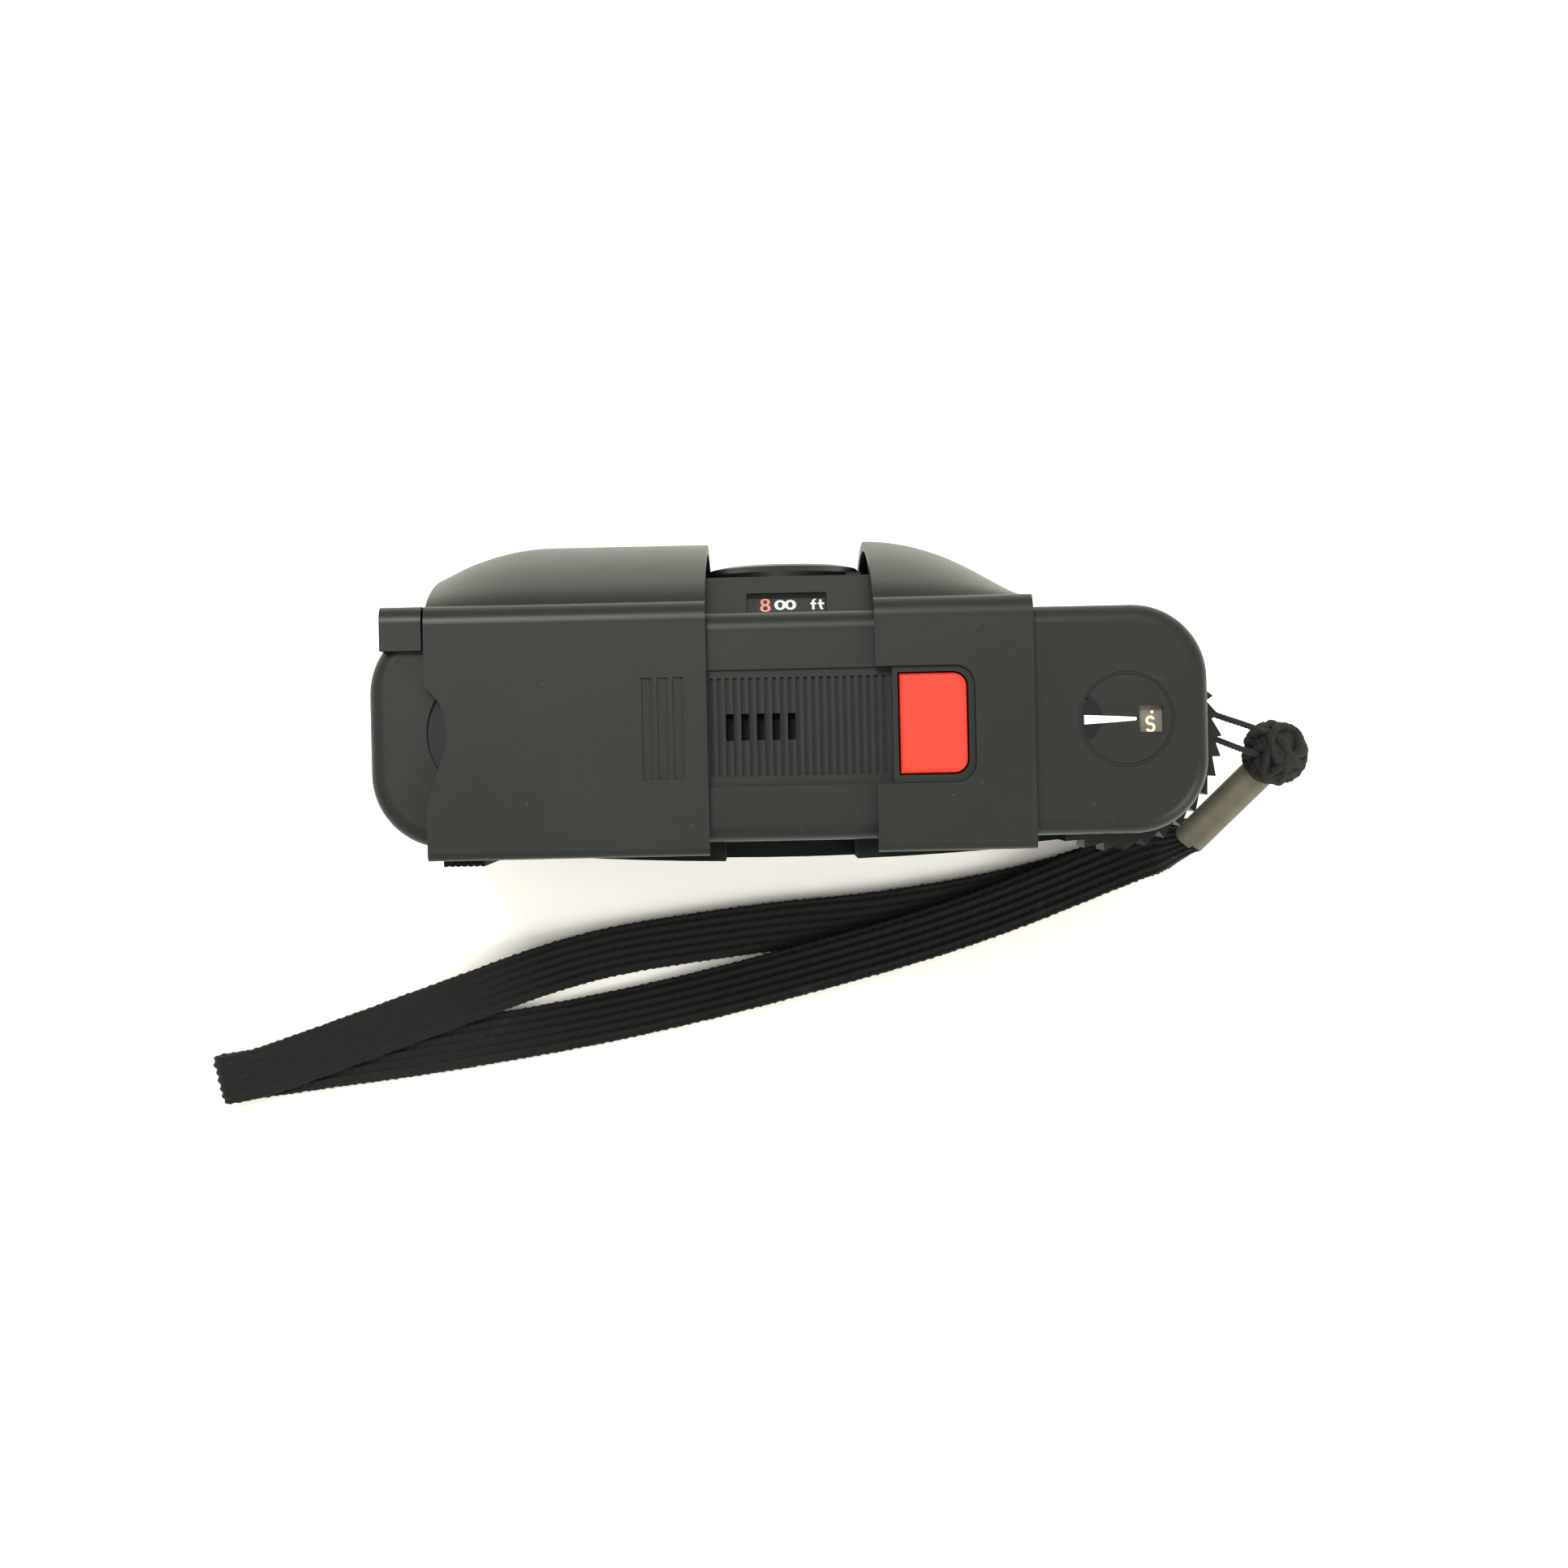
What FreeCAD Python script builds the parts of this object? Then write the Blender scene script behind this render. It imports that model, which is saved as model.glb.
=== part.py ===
"""Compact 35 mm rangefinder camera with a sliding lens cover and a wrist strap.

Millimetres, +Z up, lens facing -Y, film-cassette end towards +X. The camera stands on its base at z = 0,
and the origin is the centre of its box there. The sliding cover is drawn open.
"""
import FreeCAD, Part
import math
import os
from FreeCAD import Vector

# ---- overall sizes ---------------------------------------------------------------------------------
overall_width = 102.8
overall_depth = 40.4
overall_height = 64.5
wheel_proud = 2.15          # advance wheel beyond the end of the body
dome_depth = 8.9            # lens dome in front of the covers' flat front
door_bulge = 2.5            # back door behind the body's rear face
corner_radius = 9.0         # plan corners of the body
edge_round = 2.0            # top and bottom outer edges of the body

# ---- covers ----------------------------------------------------------------------------------------
cover_wall = 1.2
cover_glide = 0.3           # between the sliding cover and the body
base_lift = 0.1             # sliding cover above the surface the camera stands on
cover_front_round = 2.2
cover_rear_round = 1.0
lip_height = 1.8            # how far the covers hook down behind the body
gap_side = 10.1             # half of the opening between the covers
sliding_width = 33.6
cover_travel = 19.8
fixed_width = 18.95
dome_flat = 10.0            # half-width over which the dome is flat in plan
dome_plan_radius = 25.5
dome_margin = 2.7           # flat band above and below the dome
dome_fullness = 0.75        # exponent of the dome's vertical curve
notch_depth = 2.5
notch_half = 3.7
notch_shoulder = 1.7
grip_count = 3
grip_pitch = 1.85
grip_width = 1.3
grip_length = 12.2
grip_depth = 0.35
grip_from_edge = 3.3
crank_relief = 9.8          # radius of the base cut-out round the rewind crank
stop_width = 5.0
stop_depth = 5.3
stop_gap = 0.3

# ---- optics and front ------------------------------------------------------------------------------
lens_height = 30.0
finder_rise = 20.4          # finder above the lens axis
finder_half = 1.9           # half-height of the finder's front window
tunnel_half = (6.0, 2.05)   # half-width and half-height of the finder's tunnel
mirror_aside = 8.2          # rangefinder and meter windows from the lens axis
meter_rise = 13.4
panel_depth = 4.9           # front panel in front of the body
panel_wall = 1.2
panel_side = 11.9           # half-width of the front panel
panel_drop = 2.8            # top of the panel's slope, under the body's top
brow_drop = 10.5            # foot of the slope, where the upright face starts
panel_chin = 13.4
panel_tuck = 1.6            # how far the chin slopes back
scale_rise = 2.0            # distance window above the middle of the slope
scale_low = 2.0             # printed scale down and up the slope from the window's middle
scale_high = 1.2
scale_window_half = 2.3
scale_depth = 0.7           # printed scale under the slope's surface
scale_thick = 0.4
scale_long = 8.0            # half-length of the scale
scale_cover = 0.1           # window under the slope's surface
scale_shift = (-2.6, 0.6)   # its travel, focusing near and far
panel_foot = 6.4
bezel_radius = 10.3
bezel_depth = 2.6
front_lens_radius = 6.0
rear_lens_radius = 5.0
cell_wall = 1.4
running_gap = 0.05          # radial clearance of a shaft in its hole
slide_gap = 0.3             # clearance between pieces that move past each other
ring_radius = 10.0
focus_tab_radius = 12.4
focus_tab_width = 3.0
focus_sweep = (-42.0, 8.0)  # degrees
aperture_rise = 14.0
aperture_travel = 4.0
speed_drop = 15.1
speed_travel = 4.0
blade_reach = 9.5           # shutter pivot from the lens axis
blade_radius = 4.2
blade_thick = 0.25
shutter_pocket = 13.8

# ---- film path -------------------------------------------------------------------------------------
gate_width = 36.0
gate_height = 24.0
film_width = 35.0
film_setback = 4.3          # film plane in front of the body's rear face
film_clear = 0.3            # above and below the film
cassette_radius = 12.6
chamber_height = 49.0
rewind_inset = 14.7         # cassette axis from the left end
chamber_floor = 7.4
door_wall = 1.3
ridge_count = 7             # grip ridges at the door's free edge
ridge_pitch = 0.76
ridge_width = 0.42
ridge_from = 22.0
ridge_drop = 2.6            # under the door's top
plate_float = 0.3           # travel of the pressure plate against its spring
wheel_radius = 13.5
wheel_teeth = 34
wheel_tooth = 1.0
wheel_thick = 8.0
wheel_inset = 0.3           # wheel inside the crest of the back door
wheel_drop = 0.4            # wheel under the top cover
takeup_radius = 10.2
spool_radius = 5.5
shaft_radius = 1.5
gear_module = 0.6
gear_teeth = 22
gear_thick = 1.6
sprocket_radius = 4.6
sprocket_teeth = 8
sprocket_tooth = 0.9

# ---- top -------------------------------------------------------------------------------------------
base_plate = 4.4            # thickness of the base cover
top_plate = 4.0             # height of the top cover
top_skin = 1.6
recess_front = 6.9          # ribbed recess, in front of the body's centre line and behind it
recess_rear = 7.1
recess_aside = -22.2        # places along the top and base, from the lens axis
recess_depth = 0.5
rib_pitch = 0.94
rib_groove = 0.45
rib_length = 11.8
rib_depth = 0.5
rib_first_aside = 14.9
rib_last_aside = -12.1
sound_holes = 5
sound_pitch = 1.86
sound_aside = -0.3
sound_width = 0.93
sound_length = 3.2
button_aside = -17.2
button_size = (8.0, 11.9)
button_travel = 0.5
board_thick = 0.8
button_fit = 0.2
collar_side = 0.85          # ledge beside the button
collar_drop = 0.6           # ledge under the top of the covers
counter_radius = 5.7
counter_inset = 9.95
thumb_recess = 7.8
thumb_depth = 0.6

# ---- base ------------------------------------------------------------------------------------------
tripod_radius = 3.175       # 1/4 inch thread
tripod_depth = 5.5
tripod_wall = 1.7
tripod_aside = -18.1
battery_radius = 5.8
battery_thick = 5.4
battery_gap = 0.25
battery_aside = -0.6
battery_back = 10.7         # battery axis from the body's rear face
crank_radius = 7.6
crank_swing = 110.0
lever_pivot = (7.0, 5.0)    # from the lens axis and from the body's front
lever_length = 14.0
lever_width = 3.6

# ---- wrist strap -----------------------------------------------------------------------------------
strap_width = 7.0
strap_thick = 1.5
lug_height = 43.0
lug_radius = 0.6
lug_out = 1.3               # lug's axis outside the end of the body
lug_half = 2.8
lug_recess = 0.9
lug_cord_diameter = 0.8
knot_radius = 4.5
knot_centre = (-62.6, 8.5, 34.0)
sleeve_width = 4.4
sleeve_thick = 3.4
strap_fold_at = 20          # place of the fold's first point in the strap's route
sleeve_points = ((-61.2, 10.8, 30.7), (-53.6, 20.0, 19.5))
lug_cord_points = (
    (-62.6, 9.3, 33.4), (-60.8, 8.9, 35.5), (-58.9, 8.4, 37.7), (-56.8, 7.8, 39.8), (-54.6, 7.0, 41.6),
    (-52.4, 6.2, 42.7), (-50.3, 5.45, 43.0), (-49.15, 3.95, 43.05), (-50.3, 2.5, 43.1), (-52.4, 3.1, 43.0),
    (-54.6, 3.9, 42.2), (-57.0, 4.6, 40.5), (-59.3, 5.3, 38.5), (-61.4, 6.0, 36.3), (-62.9, 6.8, 34.2),
)
strap_points = (
    (-53.8, 19.8, 20.8), (-52.3, 20.6, 18.2), (-51.2, 21.1, 14.6), (-50.0, 21.6, 10.8), (-48.0, 22.5, 7.3),
    (-44.6, 24.0, 4.9), (-39.2, 26.2, 3.6), (-31.2, 29.3, 2.8), (-22.0, 32.4, 2.6), (-12.5, 35.1, 2.6),
    (-3.0, 37.5, 2.5), (6.0, 39.8, 2.0), (16.0, 42.2, 0.9), (30.0, 45.0, 0.8), (46.0, 47.5, 0.8),
    (58.0, 49.1, 0.8), (67.0, 50.1, 0.8), (72.8, 50.85, 0.8), (77.4, 51.4, 0.8), (80.4, 51.8, 0.8),
    (82.4, 52.05, 0.8), (82.4, 52.05, 3.0), (80.4, 51.8, 3.0), (77.0, 51.1, 3.0), (72.0, 49.5, 2.9),
    (64.2, 46.9, 2.7), (54.6, 43.6, 2.5), (46.0, 40.7, 2.5), (37.0, 37.6, 1.6), (27.0, 35.0, 0.8),
    (14.0, 33.2, 0.8), (2.0, 31.8, 0.8), (-9.0, 31.1, 0.8), (-19.0, 29.9, 0.8), (-27.0, 28.6, 0.85),
    (-34.2, 27.1, 1.0), (-40.4, 25.4, 1.5), (-45.5, 23.5, 2.7), (-49.4, 21.7, 5.2), (-51.6, 20.7, 8.8),
    (-52.9, 20.0, 12.6), (-53.9, 19.4, 16.3), (-54.6, 18.9, 19.6),
)

# ---- places that follow ----------------------------------------------------------------------------
body_left = overall_width / 2
body_right = -overall_width / 2 + wheel_proud
lens_x = (body_left + body_right) / 2
dome_front = -overall_depth / 2
cover_front = dome_front + dome_depth
body_front = cover_front + cover_wall + cover_glide
body_rear = overall_depth / 2 - door_bulge
cover_rear = body_rear + cover_wall + cover_glide
body_mid = (body_front + body_rear) / 2
body_bottom = base_lift + cover_wall + cover_glide
body_top = overall_height - cover_wall - cover_glide
case_bottom = body_bottom + base_plate
case_top = body_top - top_plate
dome_mid = overall_height / 2
dome_half = overall_height / 2 - dome_margin
film_plane = body_rear - film_setback
door_inner = body_rear - door_wall
rewind_x = body_left - rewind_inset
finder_height = lens_height + finder_rise
meter_height = lens_height + meter_rise
aperture_height = lens_height + aperture_rise
speed_height = lens_height - speed_drop
panel_top = body_top - panel_drop
panel_brow = body_top - brow_drop
recess_end = lens_x + recess_aside
rib_first = lens_x + rib_first_aside
rib_last = lens_x + rib_last_aside
sound_first = lens_x + sound_aside
button_x = lens_x + button_aside
counter_x = body_right + counter_inset
tripod_x = lens_x + tripod_aside
battery_x = lens_x + battery_aside
battery_y = body_rear - battery_back
wheel_top = case_top - wheel_drop
sliding_right = lens_x + gap_side - 0.3
sliding_left = sliding_right + sliding_width
fixed_left = lens_x - gap_side - 0.25
fixed_right = fixed_left - fixed_width
panel_front = body_front - panel_depth
wheel_x = body_right - wheel_proud + wheel_radius
wheel_y = overall_depth / 2 - wheel_radius - wheel_inset
wheel_bottom = wheel_top - wheel_thick
gear_distance = gear_module * gear_teeth
sprocket_y = film_plane - sprocket_radius - sprocket_tooth
sprocket_x = wheel_x + math.sqrt(gear_distance ** 2 - (sprocket_y - wheel_y) ** 2)
door_left = body_left - corner_radius + 1.4
hinge_x = body_right + 6.0
hinge_y = body_rear - 0.7
hinge_radius = 1.5
eyepiece_half = tunnel_half[0] + 1.7
eyepiece_drop = tunnel_half[1] + 1.25
lug_x = body_right - lug_out
gear_tip = gear_module * gear_teeth / 2 + 0.42
pivot_x = lens_x + lever_pivot[0]
pivot_y = body_front + lever_pivot[1]
mirror_x = lens_x + mirror_aside
spool_roof = wheel_bottom - 2.2


def box(x0, x1, y0, y1, z0, z1):
    corner = Vector(min(x0, x1), min(y0, y1), min(z0, z1))
    return Part.makeBox(abs(x1 - x0), abs(y1 - y0), abs(z1 - z0), corner)


def post(x, y, radius, z0, z1):
    """Upright cylinder."""
    return Part.makeCylinder(radius, z1 - z0, Vector(x, y, z0))


def barrel(x, z, radius, y0, y1):
    """Cylinder along Y."""
    return Part.makeCylinder(radius, y1 - y0, Vector(x, y0, z), Vector(0, 1, 0))


def fuse(first, *others):
    return first.fuse(list(others)).removeSplitter()


def cut(shape, *tools):
    return shape.cut(list(tools))


def prism(x0, x1, y0, y1, radius, z0, z1):
    """Upright block with rounded plan corners."""
    block = box(x0, x1, y0, y1, z0, z1)
    upright = [e for e in block.Edges if abs(e.Vertexes[0].Z - e.Vertexes[1].Z) > 0.5 * (z1 - z0)]
    return block.makeFillet(radius, upright)


def round_level(shape, z, radius):
    """Round every edge that lies in the level z."""
    level = [e for e in shape.Edges if abs(e.BoundBox.ZMin - z) < 1e-3 and abs(e.BoundBox.ZMax - z) < 1e-3]
    return shape.makeFillet(radius, level)


def round_along_x(shape, y, z, radius):
    """Round the straight edges along X at (y, z)."""
    found = []
    for e in shape.Edges:
        b = e.BoundBox
        if max(abs(b.YMin - y), abs(b.YMax - y), abs(b.ZMin - z), abs(b.ZMax - z)) < 1e-3:
            found.append(e)
    return shape.makeFillet(radius, found)


def plate(points, z0, z1):
    """Upright plate from a plan outline of straight sides."""
    outline = Part.makePolygon([Vector(x, y, z0) for x, y in points] + [Vector(*points[0], z0)])
    return Part.Face(outline).extrude(Vector(0, 0, z1 - z0))


def side_profile(points, x0, x1):
    """Solid along X from an outline of straight sides in the YZ plane."""
    outline = Part.makePolygon([Vector(x0, y, z) for y, z in points] + [Vector(x0, *points[0])])
    return Part.Face(outline).extrude(Vector(x1 - x0, 0, 0))


def tube(x, z, outer, inner, y0, y1):
    return barrel(x, z, outer, y0, y1).cut(barrel(x, z, inner, y0 - 1, y1 + 1))


# ---- casing ----------------------------------------------------------------------------------------
def body_block(z0, z1):
    return prism(body_right, body_left, body_front, body_rear, corner_radius, z0, z1)


def rib_grooves():
    """The parallel grooves of the top recess."""
    count = int((rib_first - rib_last) / rib_pitch) + 1
    y0 = body_mid - rib_length / 2
    floor = body_top - recess_depth - rib_depth
    grooves = []
    for i in range(count):
        x = rib_first - i * rib_pitch
        half = rib_groove / 2
        grooves.append(box(x - half, x + half, y0, y0 + rib_length, floor, body_top + 1))
    return grooves


def button_block(grow, z0, z1):
    """The shutter button's outline, larger by grow all round."""
    half_x = button_size[0] / 2 + grow
    half_y = button_size[1] / 2 + grow
    block = box(button_x - half_x, button_x + half_x, body_mid - half_y, body_mid + half_y, z0, z1)
    right = [e for e in block.Edges if e.BoundBox.XMax < button_x and e.BoundBox.ZLength > 0.5 * (z1 - z0)]
    return block.makeFillet(1.6 + grow, right)


def recess_block(z0, z1, shrink=0.0):
    """Plan of the ribbed recess, from under the sliding cover to the right of the button."""
    y0 = body_mid - recess_front + shrink
    y1 = body_mid + recess_rear - shrink
    block = box(recess_end + shrink, rib_first + 1.0, y0, y1, z0, z1)
    right = [e for e in block.Edges
             if e.BoundBox.XMax < recess_end + 1 and e.BoundBox.ZLength > 0.5 * (z1 - z0)]
    return block.makeFillet(2.4 - shrink, right)


def make_top_cover():
    top = round_level(body_block(case_top, body_top), body_top, edge_round)
    inside = prism(body_right + top_skin, body_left - top_skin, body_front + top_skin, body_rear - top_skin,
                   corner_radius - top_skin, case_top - 1, body_top - top_skin)
    rib_zone = box(recess_end - 1.0, rib_first + 2.0, body_mid - recess_front - 1.0,
                   body_mid + recess_rear + 1.0, body_top - top_skin - 0.8, body_top)
    counter_ring = post(counter_x, body_mid, counter_radius + 1.0, case_top, body_top)
    top = fuse(cut(top, inside), rib_zone, counter_ring)
    tools = [recess_block(body_top - recess_depth, body_top + 1), *rib_grooves()]
    for i in range(sound_holes):
        x = sound_first + i * sound_pitch
        tools.append(box(x - sound_width / 2, x + sound_width / 2, body_mid - sound_length / 2,
                         body_mid + sound_length / 2, case_top - 1, body_top + 1))
    tools.append(button_block(button_fit, case_top - 1, body_top + 1))
    tools.append(post(counter_x, body_mid, counter_radius + running_gap, body_top - 1.0, body_top + 1))
    tools.append(post(counter_x, body_mid, counter_radius - 0.5, case_top - 1, body_top))
    tools.append(post(rewind_x, body_mid, thumb_recess, body_top - thumb_depth, body_top + 1))
    ledge_end = button_x + button_size[0] / 2 + collar_side
    ledge = cut(recess_block(body_top - top_skin, overall_height - collar_drop, running_gap),
                box(ledge_end, rib_first + 2.0, cover_front, cover_rear, case_top, overall_height),
                button_block(button_fit, case_top, overall_height))
    return fuse(cut(top, *tools), ledge)


def make_bottom_cover():
    base = round_level(body_block(body_bottom, case_bottom), body_bottom, edge_round * 0.6)
    fan = plate(lever_sweep(), body_bottom - 1, body_bottom + 1.8)
    tools = [
        post(tripod_x, body_mid, tripod_radius + tripod_wall, body_bottom - 1, case_bottom + 1),
        post(battery_x, battery_y, battery_radius + battery_gap, body_bottom + 2.2, case_bottom + 1),
        post(battery_x, battery_y, battery_radius + 1.2, body_bottom - 1, body_bottom + 2.2),
        post(rewind_x, body_mid, crank_radius + slide_gap, body_bottom - 1, body_bottom + 3.1),
        post(rewind_x, body_mid, 3.1, body_bottom, case_bottom + 1),
        post(sprocket_x, sprocket_y, 1.5 + running_gap, body_bottom - 1, case_bottom + 1),
        fan,
        post(pivot_x, pivot_y, lever_width / 2 + slide_gap, body_bottom - 1, body_bottom + 1.8),
    ]
    stud = post(pivot_x, pivot_y, 0.8, body_bottom + 0.1, body_bottom + 1.8)
    return fuse(cut(base, *tools, *base_screw_list(running_gap)), stud)


def lever_sweep():
    """Plan of the space that the check lever swings through, open at the front."""
    half = lever_width / 2 + slide_gap
    x1 = pivot_x + half
    x0 = pivot_x - lever_length
    return [(x0, body_front - 1), (x1, body_front - 1), (x1, pivot_y), (x1 - half, pivot_y + half),
            (x0, pivot_y + half)]


def make_chassis():
    frame = body_block(case_bottom, case_top)
    light_box = Part.makeLoft([
        gate_wire(gate_width, gate_height, film_plane + 0.01),
        gate_wire(16.0, 12.0, body_front + 9.5),
    ], True, False)
    film_half = film_width / 2 + film_clear
    film_path = box(rewind_x, wheel_x, film_plane, body_rear + 1, lens_height - film_half,
                    lens_height + film_half)
    door_seat = box(hinge_x - 0.5, door_left + slide_gap, door_inner - slide_gap, body_rear + 1,
                    case_bottom + 0.2, case_top + 1)
    eyepiece_boss = box(lens_x - eyepiece_half, lens_x + eyepiece_half, door_inner - 1, body_rear + 2,
                        finder_height - eyepiece_drop, case_top + 2)
    spool_mouth = box(wheel_x, sprocket_x, wheel_y, body_rear + 1, chamber_floor, spool_roof)
    chamber_top = chamber_floor + chamber_height
    tools = [
        light_box, film_path, door_seat.cut(eyepiece_boss), spool_mouth,
        post(wheel_x, wheel_y, takeup_radius, chamber_floor, spool_roof),
        post(sprocket_x, sprocket_y, sprocket_radius + 2.2, chamber_floor, spool_roof),
        post(sprocket_x, sprocket_y, gear_tip + slide_gap, chamber_floor, chamber_floor + gear_thick + 1.0),
        barrel(lens_x, lens_height, shutter_pocket, body_front - 1, body_front + 4.8),
        barrel(lens_x, lens_height, rear_lens_radius + cell_wall, body_front, body_front + 9.6),
        post(rewind_x, body_mid, cassette_radius, chamber_floor, chamber_top),
        box(rewind_x - cassette_radius, rewind_x + cassette_radius, body_mid + 6.0, body_rear + 1,
            chamber_floor, chamber_top),
        post(rewind_x, body_mid, 3.1, case_bottom - 1, chamber_floor + 1),
        post(wheel_x, wheel_y, wheel_radius + 0.6, wheel_bottom - 0.4, case_top + 1),
        post(wheel_x, wheel_y, shaft_radius + running_gap, case_bottom + 0.6, wheel_bottom + 1),
        post(sprocket_x, sprocket_y, 1.0 + running_gap, case_bottom + 0.2, wheel_bottom - 1.0),
        post(tripod_x, body_mid, tripod_radius + tripod_wall, case_bottom - 1, tripod_depth + 0.9),
        post(battery_x, battery_y, battery_radius + battery_gap, case_bottom - 1,
             battery_base() + 2 * battery_thick + 0.3),
        box(lens_x - tunnel_half[0], lens_x + tunnel_half[0], body_front - 1, body_rear + 1,
            finder_height - tunnel_half[1], finder_height + tunnel_half[1]),
        box(body_right - 1, body_right + lug_recess, body_mid - 2.4, body_mid + 2.4,
            lug_height - lug_half + lug_radius + 0.4, lug_height + lug_half - lug_radius - 0.4),
        box(lens_x + scale_shift[0] - 8.4, lens_x + scale_shift[1] + 8.4, body_front - 1, body_front + 1.4,
            54.6, case_top + 1),
        hinge_pin_shape(running_gap),
        post(hinge_x, hinge_y, hinge_radius + slide_gap, case_bottom + 0.2, hinge_mid() - 5.0),
        post(hinge_x, hinge_y, hinge_radius + slide_gap, hinge_mid() + 5.0, wheel_bottom - 0.3),
    ]
    shelf = box(mirror_x - 1.6, mirror_x + 1.6, body_front - 2.8, body_front, finder_height - 3.8,
                finder_height - 2.4)
    bearing = post(mirror_x, body_front - 1.6, 0.8 + running_gap, finder_height - 3.4, finder_height)
    return fuse(cut(frame, *tools, *base_screw_list(running_gap), *lug_legs(0.0)), shelf).cut(bearing)


def gate_wire(width, height, y):
    corners = [(-1, -1), (1, -1), (1, 1), (-1, 1), (-1, -1)]
    return Part.makePolygon([Vector(lens_x + sx * width / 2, y, lens_height + sz * height / 2)
                             for sx, sz in corners])


def battery_base():
    return body_bottom + 2.4


def hinge_mid():
    return (case_bottom + wheel_bottom) / 2


def hinge_pin_shape(grow):
    return post(hinge_x, hinge_y, 0.7 + grow, case_bottom + 0.4, wheel_bottom - 0.8)


def base_screw_list(grow):
    """Four countersunk screws that hold the base to the frame."""
    inset = corner_radius - 5.7
    places = [
        (body_left - inset, body_front + 6.4),
        (body_left - inset - 0.4, body_rear - 5.0),
        (body_right + inset, body_front + 5.0),
        (fixed_right - 4.2, body_front + 3.2),
    ]
    screws = []
    for x, y in places:
        shank = post(x, y, 0.8 + grow, body_bottom + 0.1, body_bottom + 7.0)
        head = Part.makeCone(1.6 + grow, 0.8 + grow, 1.0, Vector(x, y, body_bottom + 0.1))
        screws.append(fuse(shank, head))
    return screws


def make_base_screws():
    driven = []
    for screw in base_screw_list(0.0):
        c = screw.BoundBox
        slot = box(c.XMin, c.XMax, c.Center.y - 0.2, c.Center.y + 0.2, body_bottom - 1, body_bottom + 0.5)
        driven.append(screw.cut(slot))
    return Part.makeCompound(driven)


def make_front_panel():
    x0 = lens_x - panel_side
    x1 = lens_x + panel_side
    chin = panel_front + panel_tuck
    outline = [(body_front, panel_foot), (chin, panel_foot + 3.0), (panel_front, panel_chin),
               (panel_front, panel_brow), (body_front, panel_top)]
    inner = [(body_front + 1, panel_foot + 1.6), (chin + panel_wall, panel_foot + 3.6),
             (panel_front + panel_wall, panel_chin), (panel_front + panel_wall, panel_brow - 0.6),
             (body_front + 1, panel_top - 0.6)]
    shell = side_profile(outline, x0, x1).cut(side_profile(inner, x0 + panel_wall, x1 - panel_wall))
    back = box(x0 - 1, x1 + 1, body_front, body_front + 2, 0, overall_height)
    slot_half = scale_window_half + running_gap
    scale_slot = side_profile(scale_outline(-1.5, 2.5, -slot_half, slot_half), lens_x - 4.9, lens_x + 4.8)
    scale_room = side_profile(
        scale_outline(-3.0, slide_gap - scale_depth, -scale_low - slide_gap, scale_high + slide_gap),
        lens_x + scale_shift[0] - scale_long - slide_gap, lens_x + scale_shift[1] + scale_long + slide_gap)
    front = (panel_front - 1, panel_front + 2)
    tools = [
        back, scale_slot, scale_room,
        barrel(lens_x, lens_height, front_lens_radius + cell_wall + running_gap, panel_front - 1, body_front),
        focus_sector(focus_tab_radius + slide_gap, ring_radius - 0.8, *front),
        box(lens_x - 9.3, lens_x - 8.1, *front, aperture_height - aperture_travel - 1.5,
            aperture_height + aperture_travel + 1.5),
        box(lens_x - speed_travel - 1.5, lens_x + speed_travel + 1.5, *front, speed_height - 0.6,
            speed_height + 0.6),
        box(lens_x - 4.6, lens_x + 5.4, *front, finder_height - finder_half, finder_height + finder_half),
        barrel(mirror_x, finder_height, 1.5, *front),
        barrel(mirror_x, meter_height, 1.8, *front),
    ]
    return cut(shell, *tools)


def focus_sector(outer, inner, y0, y1):
    """Part of a flat ring below the lens, clear of the focus tab all along its sweep."""
    ring = barrel(lens_x, lens_height, outer, y0, y1)
    ring = ring.cut(barrel(lens_x, lens_height, inner, y0 - 1, y1 + 1))
    margin = math.degrees(math.asin((focus_tab_width / 2 + slide_gap) / inner))
    reach = 2.5 * outer
    start = math.radians(-90 - focus_sweep[1] - margin)
    end = math.radians(-90 - focus_sweep[0] + margin)
    corner = Vector(lens_x, y0 - 1, lens_height)
    fan = [corner,
           corner + Vector(reach * math.cos(start), 0, reach * math.sin(start)),
           corner + Vector(reach * math.cos(end), 0, reach * math.sin(end)), corner]
    wedge = Part.Face(Part.makePolygon(fan)).extrude(Vector(0, y1 - y0 + 2, 0))
    return ring.common(wedge)


def scale_outline(low, high, down, up):
    """Outline in YZ of a strip at the distance window, low to high across the slope, down to up along it."""
    slope = Vector(0, body_front - panel_front, panel_top - panel_brow).normalize()
    normal = Vector(0, -slope.z, slope.y)
    mid = Vector(0, (panel_front + body_front) / 2, (panel_brow + panel_top) / 2) + slope * scale_rise
    places = ((down, low), (up, low), (up, high), (down, high))
    corners = [mid + slope * a + normal * b for a, b in places]
    return [(c.y, c.z) for c in corners]


def make_distance_window():
    outline = scale_outline(slide_gap - scale_depth, -scale_cover, -scale_window_half, scale_window_half)
    body = box(lens_x - 6, lens_x + 6, body_front - running_gap, body_front + 2, 0, overall_height)
    return side_profile(outline, lens_x - 4.8, lens_x + 4.7).cut(body)


def make_distance_scale():
    outline = scale_outline(-scale_depth - scale_thick, -scale_depth, -scale_low, scale_high)
    return side_profile(outline, lens_x - scale_long, lens_x + scale_long)


# ---- covers ----------------------------------------------------------------------------------------
def dome_apex(across):
    """Y of the dome at a distance from the lens axis."""
    drop = max(0.0, abs(across) - dome_flat)
    return dome_front + dome_plan_radius - math.sqrt(dome_plan_radius ** 2 - drop ** 2)


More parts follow.
